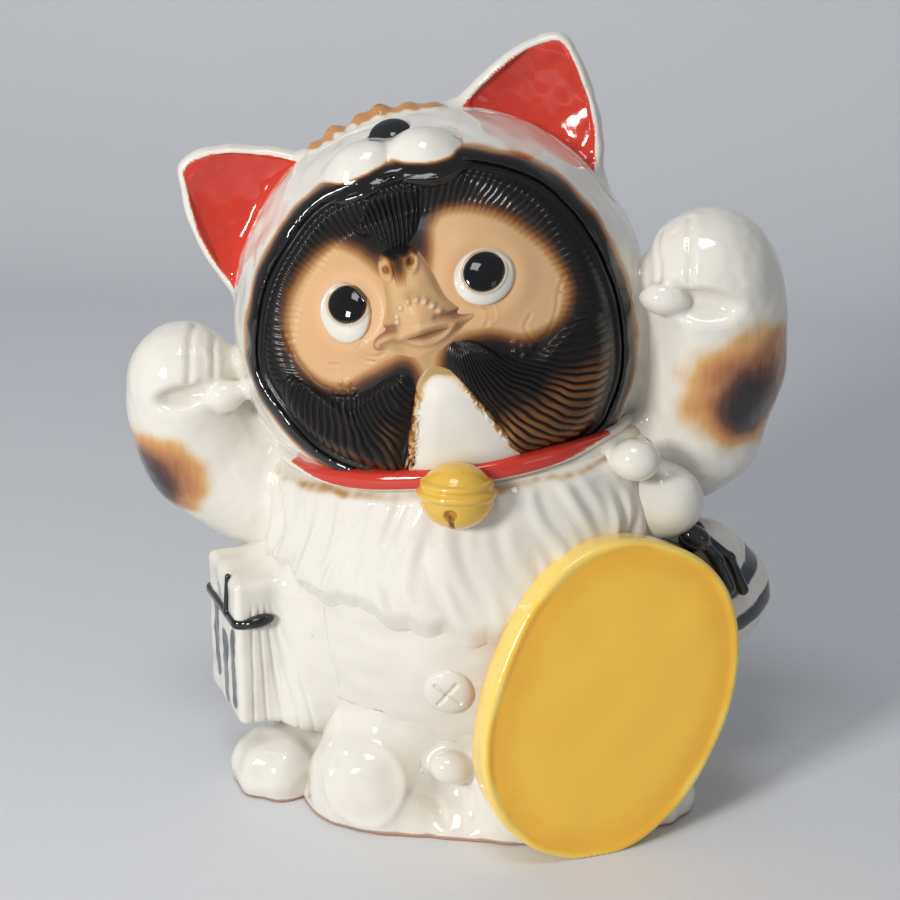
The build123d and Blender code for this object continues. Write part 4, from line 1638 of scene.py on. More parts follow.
@dataclass
class Snout:
    """Beak-like snout with nostrils, pores and lips."""

    outline: Outline = (
        (-12.5, 35.5), (-9.0, 39.0), (-3.5, 40.0), (2.5, 38.0), (7.5, 29), (11.5, 18), (16.5, 12.0),
        (21.0, 9.5), (19.0, 5.0), (12.0, 1.0), (4.0, -2.5), (-3.0, -3.5), (-11.0, -2.0), (-19.5, 2.0),
        (-23.5, 6.0), (-20.0, 10.5), (-14.5, 19.0), (-13.5, 28.0),
    )
    upper_lip: Outline = (
        (-19.0, 4.8), (-17.4, 7.0), (-12.5, 7.6), (-7.0, 7.4), (2.3, 8.6), (11.3, 8.0), (18.6, 8.4),
    )
    lower_lip: Outline = ((-9.0, 6.2), (-5.0, 3.9), (-0.9, 2.8), (3.2, 2.7), (7.2, 3.9), (11.2, 6.6))
    creases: tuple[Outline, Outline] = (
        ((-10.6, 10.6), (-15.0, 10.4), (-19.0, 9.0), (-21.4, 6.2), (-20.6, 3.4)),
        ((6.0, 11.4), (10.0, 10.8), (14.0, 10.6), (19.4, 11.4)),
    )
    mouth: Outline = (
        (-6.6, 6.0), (-3.0, 6.6), (2.0, 7.4), (7.0, 6.9), (9.6, 6.2), (5.0, 4.7), (0.0, 4.3), (-4.0, 4.9),
    )
    nostrils: tuple[Spot, Spot] = ((-9.4, 31.4), (0.6, 32.6))
    pores: Outline = (
        (-8.8, 12.9), (-8.4, 15.0), (-6.4, 17.9), (-2.9, 19.6),
        (0.4, 19.6), (3.3, 18.3), (5.7, 16.1), (7.6, 13.6),
    )
    levels: tuple[float, ...] = (
        -3.5, 0.0, 3.0, 5.0, 7.0, 9.0, 12.0, 15.0, 18.0, 22.0, 27.0, 32.0, 36.0, 38.5,
    )
    left: tuple[float, ...] = (
        -8, -11, -15, -18, -20.5, -20.5, -17.6, -15.4, -13.9, -12.8, -12.6, -12.8, -12.0, -8.5,
    )
    right: tuple[float, ...] = (6, 9, 12, 14.5, 17.5, 18.6, 17.0, 14.6, 12.4, 10.4, 8.2, 6.0, 3.6, -0.5)
    top: tuple[float, ...] = (0.2, 1.4, 2.6, 3.4, 4.8, 6.8, 8.2, 8.7, 8.4, 7.7, 6.6, 5.6, 3.2, 0.4)

    def __post_init__(self) -> None:
        """Smooths the lines of the mouth once."""
        self.upper_line = bowed(self.upper_lip, 40)
        self.lower_line = bowed(self.lower_lip, 30)
        self.crease_lines = [bowed(crease, 30) for crease in self.creases]
        self.gape = round_outline(self.mouth, 60)

    def folds(self, x: Array, z: Array) -> Array:
        """Distance to the nearer crease beside the mouth."""
        return np.minimum(*(trail(x, z, line) for line in self.crease_lines))

    def bulk(self, x: Array, z: Array) -> Array:
        """Rise of the main form, with a keel along each side of the bridge.

        Args:
            x: Places across.
            z: Places up.

        Returns:
            Rises in mm.
        """
        left, right, top = (np.interp(z, self.levels, row) for row in (self.left, self.right, self.top))
        u = (2.0 * x - left - right) / (right - left)
        power = np.interp(z, [6.0, 10.0, 17.0, 30.0], [1.35, 1.4, 2.0, 3.0])
        body = top * np.maximum(1.0 - np.abs(u) ** power, 0.0) ** 1.35
        keel = 0.7 * mound(np.abs(u) - 0.72, 0.16) * ease(z, 10.0, 15.0) * ease(z, 33.0, 27.0)
        return body + keel

    def height(self, x: Array, z: Array, inside: Array) -> Array:
        """Rise of the snout with all it carries.

        Args:
            x: Places across.
            z: Places up.
            inside: Distances from the edge.

        Returns:
            Rises in mm.
        """
        out = self.bulk(x, z)
        out = out + 1.6 * mound(trail(x, z, self.upper_line), 1.9)
        out = out + 1.2 * mound(trail(x, z, self.lower_line), 1.3)
        out = out - 1.1 * mound(self.folds(x, z), 1.3)
        out = out - 1.1 * ease(fence(x, z, self.gape), 0.3, -1.2)
        out = out + 1.5 * np.exp(-(((x + 17.6) / 3.0) ** 2 + ((z - 5.9) / 2.3) ** 2))
        for cx, cz in self.nostrils:
            d = np.hypot((x - cx) / 0.9, (z - cz) / 1.25)
            out = out + 1.3 * mound(d - 2.6, 1.0) - 1.9 * mound(d, 1.3)
        for cx, cz in self.pores:
            out = out + 1.5 * np.exp(-(((x - cx) ** 2 + (z - cz) ** 2) / 1.4))
        for n in (-1.5, -0.5, 0.5, 1.5):
            near = trail(x, z, ((-4.3 + 1.5 * n, 37.0), (-4.0 + n, 25.5)))
            out = out - 0.6 * mound(near, 0.4)
        return (np.maximum(out, 0.12) + 0.3) * ease(inside, 0.0, 3.0) - 0.35

    def build(self) -> Piece:
        """The snout with its painted mouth, bridge and pores, and brown in its creases and nostrils that is
        partly painted shade.

        Returns:
            The piece.
        """
        skin, x, z, inside = Relief((-1.5, 16.0), self.outline, 420, 120, 3.0, 0.9).lay(self.height)
        p = np.stack([x, z], axis=-1)
        mouth = ease(fence(x, z, self.gape), 0.7, -0.8)
        # Brown along the creases beside the mouth: partly brown paint, partly painted shade in the creases.
        outer = 0.26 + 0.34 * ease(np.abs(x + 0.5), 7.0, 13.0)
        skin.paint["lip"] = np.clip(0.40 * mouth + outer * mound(self.folds(x, z), 2.2), 0.0, 1.0)
        stripe = mound(x + 4.2, 3.4) * ease(z, 23.0, 33.0)
        top = ease(z + 0.4 * lumps(p, 5.0, 91), 33.5, 37.5)
        # Dark paint in the nostril holes is painted shade in the holes, partly their brown lining.
        nostril = np.maximum(*(ease(np.hypot(x - cx, z - cz), 2.0, 0.9) for cx, cz in self.nostrils))
        shade = 0.17 * np.exp(-(((x + 1.5) / 6.5) ** 2 + ((z - 22.0) / 3.0) ** 2))
        skin.paint["soot"] = np.clip(0.66 * stripe + 0.80 * top + 0.34 * nostril + shade, 0.0, 1.0)
        flank = np.interp(z, [12, 20, 30], [13.0, 9.0, 5.0])
        green = mound(x - flank, 3.4) + mound(x + 11.5, 3.0)
        olive = np.clip(0.30 + 0.5 * green, 0.0, 0.8) * ease(z, 31.0, 24.0)
        skin.paint["olive"] = olive * ease(inside, 0.3, 4.0)
        dots = [ease(np.hypot(x - cx, z - cz), 1.2, 0.3) for cx, cz in self.pores]
        skin.paint["cream"] = 0.42 * np.maximum.reduce(dots)
        return fire("snout", skin, Finish.FACE, 5)


@dataclass
class Cheek:
    """A combed fur pad beside the snout."""

    side: Side
    centre: Spot
    outline: Outline
    comb: Comb

    def warmth(self, x: Array, z: Array) -> Array:
        """How brown the strokes are.

        Args:
            x: Places across.
            z: Places up.

        Returns:
            Shares from 0 to 1.
        """
        edge = ease(fence(x, z, BUILD.rim_line), -13.0, -3.0)
        if self.side is Side.LEFT:
            return 0.70 * ease(-z + 0.25 * (x - 30.0), 18.0, 36.0) + 0.12 * edge
        return 0.10 * ease(-z, 14.0, 30.0) + 0.42 * edge * ease(-z, 18.0, 34.0)

    def height(self, x: Array, z: Array, inside: Array) -> Array:
        """Rise of the pad with its strokes and whisker dots."""
        pad = 4.0 * ease(inside, -0.5, 9.0) - 0.45
        return pad + 0.50 * self.comb.ridges(x, z) * ease(inside, 0.8, 7.0) + beads(x, z)

    def build(self) -> Piece:
        """The pad with its painted strokes.

        Returns:
            The piece.
        """
        skin, x, z, inside = Relief(self.centre, self.outline, 620, 120).lay(self.height)
        p = np.stack([x, z], axis=-1)
        ridge = ease(self.comb.ridges(x, z), -0.3, 0.9)
        warm = self.warmth(x, z) + 0.10 * lumps(p, 18.0, 99) * ease(-z, 14.0, 26.0)
        skin.paint["tawny"] = np.clip(warm * ridge, 0.0, 1.0) * ease(inside, 0.5, 3.0)
        return fire(self.side.part("cheek_tuft"), skin, Finish.FUR, 4)


def cheeks() -> tuple[Cheek, Cheek]:
    """Both cheeks with their outlines.

    Returns:
        The right cheek and the left one.
    """
    right = Cheek(
        Side.RIGHT,
        (-35.0, -22.0),
        (
            (-58, 2), (-49, -5.0), (-38, -10.0), (-26, -9.0), (-16, -6.0), (-9.0, -6.5), (-7.0, -12),
            (-8.4, -18), (-12, -26), (-17, -36), (-21, -48), (-35, -42.6), (-47.5, -34.6), (-57.5, -24.5),
            (-63.6, -12), (-64.5, -2),
        ),
        Comb((-29.0, 26.0), -0.0035, 112.0, 97),
    )
    left = Cheek(
        Side.LEFT,
        (36.0, -25.0),
        (
            (7.0, 1.2), (4.2, -6.0), (6.2, -13.2), (9.8, -20.5), (14.2, -28), (17.6, -37), (19.0, -51),
            (33, -52), (47, -51.5), (57.6, -43.0), (65.0, -29), (68.4, -14), (67, -2), (59, -1), (51, -4.0),
            (42, -8.0), (33, -9.0), (24, -6.0), (15.5, 0.6),
        ),
        Comb((15.0, 10.0), -0.009, 96.0, 97),
    )
    return right, left


@dataclass
class Face:
    """Face mask with eyes, snout, fur pads and chin."""

    tans: tuple[Outline, Outline] = (
        (
            (-29, 46.2), (-41, 40.2), (-51.3, 29.3), (-56, 16), (-53.6, 2.6), (-45.3, -7.3), (-35, -10.4),
            (-24.9, -7.5), (-14.7, -4.5), (-3.0, 0.0), (-1.5, 12), (-3.0, 21.7), (-6.5, 28.5), (-13.0, 37.0),
            (-19.5, 42.8),
        ),
        (
            (13.8, 48.6), (26, 47.4), (38, 41.0), (46.8, 32.2), (53.4, 22), (57, 8.6), (52.6, -2.3),
            (43.4, -6.8), (33, -6.9), (24.2, -2.5), (15.3, -1.0), (2.1, 0.0), (0.8, 10.4), (1.5, 21),
            (3.0, 28), (5.4, 35.2), (7.4, 43.2),
        ),
    )
    tan_bridge: Outline = (
        (-12.5, 35.0), (-7.0, 35.0), (-2.4, 35.0), (4.5, 35.0), (9.6, 26.6), (13.1, 16.4), (17.8, 10.4),
        (16.0, 2.0), (8.0, -2.0), (4.5, -8.0), (6.0, -14.0), (-1.0, -12.0), (-7.5, -14.0), (-8.5, -6.0),
        (-14, 0.0), (-21, 6.3), (-14, 20),
    )
    wrinkles: tuple[Outline, ...] = (
        ((-54.5, 16), (-52.8, 8.0), (-49.5, 1.0), (-44.5, -5.6), (-39.5, -8.0)),
        ((54.0, 13), (50.6, 8.0), (48.4, 2.0), (44.6, -4.0), (39.5, -8.0)),
        ((38.9, 3.0), (35.9, -0.8), (36.9, -5.2)),
        ((-39.0, 1.5), (-35.0, 0.6), (-34.6, -3.6)),
        ((-24.8, 7.4), (-24.8, 4.8), (-23.2, 2.6), (-20.4, 1.6), (-17.2, 2.0)),
        ((-26.6, 6.0), (-26.0, 3.0), (-24.2, 0.8), (-21.4, 0.0)),
        ((23.2, 11.0), (24.3, 8.6), (24.0, 6.0), (22.0, 3.4)),
        ((25.2, 10.2), (26.0, 7.6), (25.2, 5.0)),
    )
    sockets: tuple[Spot, Spot] = ((-27.2, 20.0), (25.8, 20.5))
    brow: Outline = (
        (-21, 46.4), (-17, 53), (-13, 59), (-2, 60.5), (10, 59), (9.5, 52.4), (8.2, 46.7), (4.6, 40.4),
        (-0.6, 36.4), (-6.1, 35.6), (-10.3, 38.6), (-14.4, 42.2),
    )
    chin_edge: Outline = (
        (0.6, -4.5), (-6.0, -7.5), (-10.4, -15.8), (-14.4, -25.5), (-18.8, -36.5), (-22.6, -48), (-10, -54.5),
        (2, -56), (13, -55.5), (24.6, -51), (21.6, -39.5), (17.2, -28.5), (13.0, -18.8), (8.2, -9.8),
    )
    white_chin: Outline = (
        (1.0, -10.2), (-4.2, -11.8), (-8.0, -18.5), (-11.4, -28.0), (-15.2, -39.0), (-18.6, -50.0),
        (2.0, -58.0), (22.4, -52.0), (19.8, -42.0), (15.6, -30.5), (11.2, -20.5), (6.6, -12.6),
    )
    fur: Comb = Comb((1.0, 6.0), 0.0035, 140.0, 82)

    def soot(self, x: Array, z: Array) -> Array:
        """How black the face is, soft at the edges of the tan.

        Args:
            x: Places across.
            z: Places up.

        Returns:
            Shares from 0 to 1.
        """
        d = np.minimum(*(fence(x, z, round_outline(tan, 90)) for tan in self.tans))
        d = meld(d, fence(x, z, round_outline(self.tan_bridge, 90)), 3.0)
        ring = ease(fence(x, z, BUILD.rim_line), -30.0, -20.0)
        d = d - 0.3 * self.fur.ridges(x, z) * ring * ease(x, -10.0, 20.0)
        return ease(d, -7.5, 4.5)

    def mask_height(self, x: Array, z: Array, inside: Array) -> Array:
        """Rise of the fur ring, the glossy rim, the wrinkles and the eye sockets.

        Args:
            x: Places across.
            z: Places up.
            inside: Distances from the edge.

        Returns:
            Rises in mm.
        """
        arch = 1.5 * np.sin(np.clip(inside / 20.0, 0.0, 1.0) * math.pi)
        fur = arch + 0.30 * self.fur.ridges(x, z) * ease(inside, 3.0, 5.0)
        out = ease(inside, 20.5, 12.0) * fur
        out = out + 1.6 * mound(inside - 2.0, 1.05) - 0.7 * mound(inside - 4.4, 1.1)
        for wrinkle in self.wrinkles:
            near = trail(x, z, bowed(wrinkle))
            out = out - 0.34 * mound(near, 0.5) + 0.16 * mound(near - 1.2, 0.8)
        out = out + beads(x, z)
        for cx, cz in self.sockets:
            out = out + 1.1 * mound(np.hypot(x - cx, z - cz) - 14.0, 4.5)
        return out

    def mask(self) -> Piece:
        """Domed mask with its combed fur ring, glossy rim and painted shade in its wrinkle grooves.

        Returns:
            The piece.
        """
        skin, x, z, _ = Relief((1.0, 8.0), BUILD.rim, 820, 115, 7.0, 2.0).lay(self.mask_height)
        soot = self.soot(x, z)
        # Faint brown along the wrinkle grooves is painted shade in the grooves.
        wrinkle_shade = [ease(trail(x, z, bowed(wrinkle)), 0.8, 0.1) for wrinkle in self.wrinkles]
        skin.paint["soot"] = soot
        skin.paint["lip"] = 0.12 * np.maximum.reduce(wrinkle_shade) * (1 - soot)
        skin.paint["olive"] = 0.8 * ease(np.hypot(x + 0.5, (z + 5.0) * 0.8), 9.0, 3.0)
        return fire("face_mask", skin, Finish.FACE, 5)

    def forehead(self) -> Piece:
        """Combed pad on the forehead.

        Returns:
            The piece.
        """
        comb = Comb((-3.5, -6.0), 0.0, 165.0, 95)

        def height(x: Array, z: Array, inside: Array) -> Array:
            """Rise of the pad with its strokes."""
            return (2.8 + 0.5 * comb.ridges(x, z)) * ease(inside, 0.0, 4.5) - 0.4

        skin, x, _, _ = Relief((-3.5, 48.0), self.brow, 300, 80).lay(height)
        skin.paint["tawny"] = np.zeros(len(x))
        return fire("forehead_tuft", skin, Finish.FUR, 4)

    def chin(self) -> Piece:
        """Pale chin with a curly edge.

        Returns:
            The piece.
        """
        line = round_outline(self.white_chin, 120)

        def height(x: Array, z: Array, inside: Array) -> Array:
            """Rise of the chin with its curls.

            Args:
                x: Places across.
                z: Places up.
                inside: Distances from the edge.

            Returns:
                Rises in mm.
            """
            p = np.stack([x, z], axis=-1)
            out = fence(x, z, line)
            wave = np.sin(0.9 * lumps(p, 5.0, 103) * 3.0 + 0.8 * z)
            curls = np.maximum(wave, -0.6) * ease(out, -1.5, 0.5)
            rise = 2.2 + 1.3 * ease(out, 2.0, -8.0) + 0.7 * curls * ease(-z, 12.0, 20.0)
            return rise * ease(inside, 0.0, 3.0) * (0.25 + 0.75 * ease(-z, 6.0, 20.0)) - 0.4

        skin, x, z, inside = Relief((0.8, -33.0), self.chin_edge, 360, 90).lay(height)
        p = np.stack([x, z], axis=-1)
        out = fence(x, z, line) + 0.45 * lumps(p, 10.0, 105)
        skin.paint["cream"] = ease(out, 1.3, -1.6)
        tint = 0.10 + 0.28 * ease(lumps(p, 3.4, 106), -0.5, 1.0) + 0.45 * ease(inside, 2.2, 0.4)
        skin.paint["soot"] = np.clip(tint * ease(out, -0.8, 1.6) * ease(-z, 9.0, 16.0), 0.0, 1.0)
        skin.paint["olive"] = ease(-z, 22.0, 12.0)
        skin.paint["lip"] = np.zeros(len(x))
        return fire("chin_patch", skin, Finish.FACE, 5)

    def build(self) -> list[Piece]:
        """All pieces of the face.

        Returns:
            The pieces.
        """
        pieces = [self.mask()]
        pieces.append(Eye(Side.RIGHT, (-28.3, 19.0), (10.2, 11.4), (1.9, 3.3), (7.3, 6.4)).build())
        pieces.append(Eye(Side.LEFT, (25.4, 20.6), (11.6, 10.4), (0.5, 2.1), (7.4, 6.6)).build())
        pieces += [Snout().build(), self.forehead()]
        pieces += [cheek.build() for cheek in cheeks()]
        return [*pieces, self.chin()]


@dataclass
class Neck:
    """Collar, bell and chest ruff."""

    collar_radius: float = 72.6
    collar_at: Spot = (-7.0, -9.0)
    bell_at: Point = (3.2, -90.0, 143.2)
    bell_radii: Point = (14.3, 13.3, 12.6)
    bell_ribs: tuple[Point, ...] = ((1.2, 14.3, 1.25), (5.0, 13.2, 1.1))
    ruff_columns: int = 424
    ruff_rows: int = 114

    def collar(self) -> Piece:
        """Red band round the neck with a pale hem, tapering at the sides.

        Returns:
            The piece.
        """
        az = np.linspace(-math.pi, math.pi, 420, endpoint=False)[None, :]
        ring = np.linspace(0.0, 2 * math.pi, 40, endpoint=False)[:, None]
        deg = np.degrees(az)
        span = ease(np.abs(deg - 2.0), 64.0, 26.0)
        tall = 1.5 + 2.3 * span
        thick = 2.2 + 1.3 * span
        c, s = np.cos(ring), np.sin(ring)
        out = thick * np.sign(c) * np.abs(c) ** 0.75
        up = tall * np.sign(s) * np.abs(s) ** 0.75
        r = self.collar_radius + 1.6 + out + 0.2 * np.sin(deg * 0.31 + 1.0)
        x = self.collar_at[0] + r * np.sin(az)
        y = self.collar_at[1] - r * np.cos(az)
        side = x - self.collar_at[0]
        a = math.radians(BUILD.neck_tilt)
        rise = 0.9 + up - 0.18 * out + 0.5 * np.sin(deg * 0.05)
        across = self.collar_at[0] + side * math.cos(a) - rise * math.sin(a)
        z = BUILD.neck_height - 0.86 + side * math.sin(a) + rise * math.cos(a)
        skin = lattice(np.stack([across, y, z], axis=-1), wrap=True)
        rows, cols = z.shape
        j = np.arange(cols)
        k = (j + 1) % cols
        closing = np.stack([(rows - 1) * cols + j, j, k, (rows - 1) * cols + k], axis=1)
        skin.faces = np.concatenate([skin.faces, closing])
        from_middle = skin.verts - np.array([*self.collar_at, BUILD.neck_height])
        if (skin.normals() * from_middle).sum(axis=1).mean() < 0:
            skin.flip()
        level = (up / tall).ravel()
        front = np.broadcast_to(ease(np.abs(deg - 3.0), 57.0, 53.0), z.shape).ravel()
        tip = np.broadcast_to(ease(np.abs(deg - 3.0), 30.0, 57.0), z.shape).ravel()
        skin.paint["red"] = front * ease(level - 1.1 * tip, -0.62, -0.44)
        return fire("collar", skin, Finish.COLLAR, 4)

    def bell(self) -> Piece:
        """Moulded bell with two ribs, a hole and a slit, darkened inside with pooled glaze and painted shade.

        Returns:
            The piece.
        """
        at = np.asarray(self.bell_at)
        turn = turned(x=-6.0)

        def form(p: Array) -> Array:
            """The bell, luted on the body.

            Args:
                p: Points.

            Returns:
                Distances in mm.
            """
            q = (p - at) @ turn
            out = egg(q, (0, 0, 0), self.bell_radii)
            r = np.hypot(q[..., 0], q[..., 1])
            for z, ring, size in self.bell_ribs:
                out = meld(out, np.hypot(r - ring + 0.4, q[..., 2] - z) - size, 1.4)
            out = carve(out, ball(q, (-0.6, -12.6, -5.0), 2.5), 1.0)
            below = np.maximum(q[..., 2] + 5.0, q[..., 1] + 4.0)
            slit = np.maximum(np.abs(q[..., 0] + 0.4) - 0.75, below)
            out = carve(out, np.maximum(slit, -ball(q, (0, 0, 0), 10.8)), 0.8)
            return luted(out, BUILD.flank(p), 1.5, 3.0)

        skin = cast(form, at - 17.0, at + 17.0, 0.55)
        q = (skin.verts - at) @ turn
        # Darker amber in the hole and the slit: partly pooled glaze, partly painted shade in them.
        hole = ease(np.hypot(q[:, 0] + 0.6, q[:, 2] + 5.0), 3.4, 1.6)
        slit = ease(np.abs(q[:, 0] + 0.4), 1.6, 0.6) * ease(q[:, 2], -4.5, -6.0)
        skin.paint["deep"] = 0.42 * np.maximum(hole, slit) * ease(-q[:, 1], 2.0, 5.0)
        return fire("bell", skin, Finish.BELL, 5)

    @staticmethod
    def locks(az: Array) -> Array:
        """How far the locks of the ruff hang at each angle, in mm.

        Args:
            az: Angles round the body in degrees.

        Returns:
            Lengths in mm.
        """
        p = np.stack([az[0] * 1.5, 0 * az[0]], axis=-1)
        broad = np.abs(np.sin(np.radians(az * 7.4 + 25.0 * lumps(p, 30.0, 111))))
        return 4.5 * broad + 2.2 * np.abs(np.sin(np.radians(az * 19.0)))

    @staticmethod
    def ruff_rise(az: Array, t: Array, z: Array) -> Array:
        """Rise of the combed fur over the chest.

        Args:
            az: Angles round the body in degrees.
            t: Places from the collar, 0, to the hem, 1.
            z: Heights in mm.

        Returns:
            Rises in mm.
        """
        flow = az * 1.5 + 5.5 * np.sin(t * 4.2 + az * 0.07)
        p = np.stack([flow, z * 0.30], axis=-1)
        fold = lumps(p, 13.0, 113)
        strand = lumps(p * np.array([1.0, 0.55]), 5.4, 115)
        strong = 0.55 + 0.55 * ease(az, 8.0, 40.0) + 0.25 * ease(-az, 25.0, 55.0)
        off = np.abs(az - 1.0)
        body = 3.4 * ease(t, 1.0, 0.80) * ease(t, -0.02, 0.10) * ease(off, 75.0, 58.0)
        rise = body + strong * (0.70 * fold + 0.34 * strand) * ease(t, 1.0, 0.86) * ease(t, 0.0, 0.12)
        rise = rise * ease(off, 75.0, 66.0) + 0.25
        return rise - 1.1 * ease(t, 0.955, 1.0) - 1.0 * ease(off, 70.0, 75.0)

    def ruff(self) -> Piece:
        """Combed chest fur with locks that end in a ragged hem.

        Returns:
            The piece.
        """
        cols, rows = self.ruff_columns, self.ruff_rows
        az = np.linspace(-74.0, 76.0, cols)[None, :]
        t = np.linspace(0.0, 1.0, rows)[:, None]
        a = np.radians(az)
        seam = BUILD.neck_height + 0.1228 * 80.0 * np.sin(a) - 4.0
        sag = 9.0 * mound(az - 4.0, 16.0)
        hem = 90.5 - sag + 4.0 * ease(np.abs(az), 30.0, 66.0) - self.locks(az) + 3.0
        z = seam * (1.0 - t) + hem * t
        r = BUILD.barrel_radius(z) + self.ruff_rise(az, t, z)
        front = np.stack([r * np.sin(a), -r * np.cos(a), z], axis=-1)
        r = BUILD.barrel_radius(z) - 4.0
        back = np.stack([r * np.sin(a), -r * np.cos(a), z], axis=-1)
        skin = lattice(np.concatenate([front, back[::-1]]))
        last = 2 * rows - 1
        j = np.arange(cols - 1)
        closing = np.stack([last * cols + j, j, j + 1, last * cols + j + 1], axis=1)
        i = np.arange(rows - 1)
        first_end = np.stack([i, last - i, last - 1 - i, i + 1], axis=1) * cols
        second_end = (first_end + cols - 1)[:, ::-1]
        skin.faces = np.concatenate([skin.faces, closing, first_end, second_end])
        if (skin.normals() * skin.verts)[: rows * cols, :2].sum(axis=1).mean() < 0:
            skin.flip()
        v = skin.verts
        below = -BUILD.seam(v) + 0.5 * lumps(v, 24.0, 117)
        band = mound(below - 6.3, 1.9)
        streak = 0.74 + 0.11 * lumps(v * np.array([1.0, 1.0, 0.35]), 6.0, 118) + 0.13 * lumps(v, 42.0, 119)
        skin.paint["ochre"] = np.clip(0.60 * band * streak, 0.0, 0.6)
        return fire("chest_ruff", skin, Finish.CREAM, 8)

    def build(self) -> list[Piece]:
        """All pieces of the neck."""
        return [self.collar(), self.ruff(), self.bell()]


@dataclass
class Koban:
    """Oval coin leaning on the belly, with the clay pad behind it."""

    length: float = 129.0
    width: float = 99.0
    thick: float = 15.0
    fullness: float = 2.25
    pad_radius: float = 36.0
    at: Point = (64.4, -90.3, 61.5)
    turn: Array = field(default_factory=lambda: turned(z=27.0) @ turned(x=-8.0) @ turned(y=25.0))

    def local(self, p: Array) -> Array:
        """Points in the coin's own frame: across, inward and up."""
        return (p - np.asarray(self.at)) @ self.turn

    def oval(self, q: Array) -> Array:
        """Distance from the coin's slightly uneven edge.

        Args:
            q: Points in its frame.

        Returns:
            Distances in mm.
        """
        w, h, n = self.width / 2, self.length / 2, self.fullness
        x, z = q[..., 0], q[..., 2]
        a = np.arctan2(z / h, x / w)
        wave = 0.35 * np.sin(3 * a + 0.6) + 0.25 * np.sin(5 * a + 2.0)
        u, v = np.abs(x) / w, np.abs(z) / h
        k = np.maximum((u**n + v**n) ** (1.0 / n), 1e-6)
        slope = k ** (1.0 - n) * np.hypot(u ** (n - 1.0) / w, v ** (n - 1.0) / h)
        return (k - 1.0) / np.maximum(slope, 1e-6) - wave

    def form(self, p: Array) -> Array:
        """Coin with a raised rim and its pad, set on the body and the floor.

        Args:
            p: Points.

        Returns:
            Distances in mm.
        """
        q = self.local(p)
        d = self.oval(q)
        y = q[..., 1]
        flank = BUILD.flank(p)
        face = -y + 0.55 * ease(d, -2.0, -4.6)
        plate = common(common(d, face, 2.4), y - self.thick, 4.0)
        stub = np.maximum(-y + 8.0, y - 60.0)
        pad = np.maximum(np.hypot(q[..., 0] + 4.0, q[..., 2] + 2.0) - self.pad_radius, stub)
        out = meld(plate, common(pad, -flank - 60.0, 2.0), 4.0)
        out = np.maximum(out, -(flank + 3.0))
        return np.maximum(out, -p[..., 2])

    def build(self) -> list[Piece]:
        """The coin with its amber edge.

        Returns:
            The pieces.
        """
        skin = cast(self.form, (-6, -126, -2), (132, -22, 132), 1.15)
        skin.swell(0.10 * lumps(skin.verts, 26.0, 131))
        skin.verts[:, 2] = np.maximum(skin.verts[:, 2], 0.0)
        q = self.local(skin.verts)
        d = self.oval(q) + 0.8 * lumps(skin.verts, 22.0, 133)
        facing = ease(q[:, 1], 2.5, 0.5)
        skin.paint["amber"] = 0.55 * facing * ease(d, -20.0, -5.0) * ease(d, -1.5, -4.0)
        skin.paint["rim"] = 0.8 * ease(d, -2.8, -1.2) * ease(q[:, 1], 13.0, 8.0)
        return [fire("koban", skin, Finish.COIN, 6)]


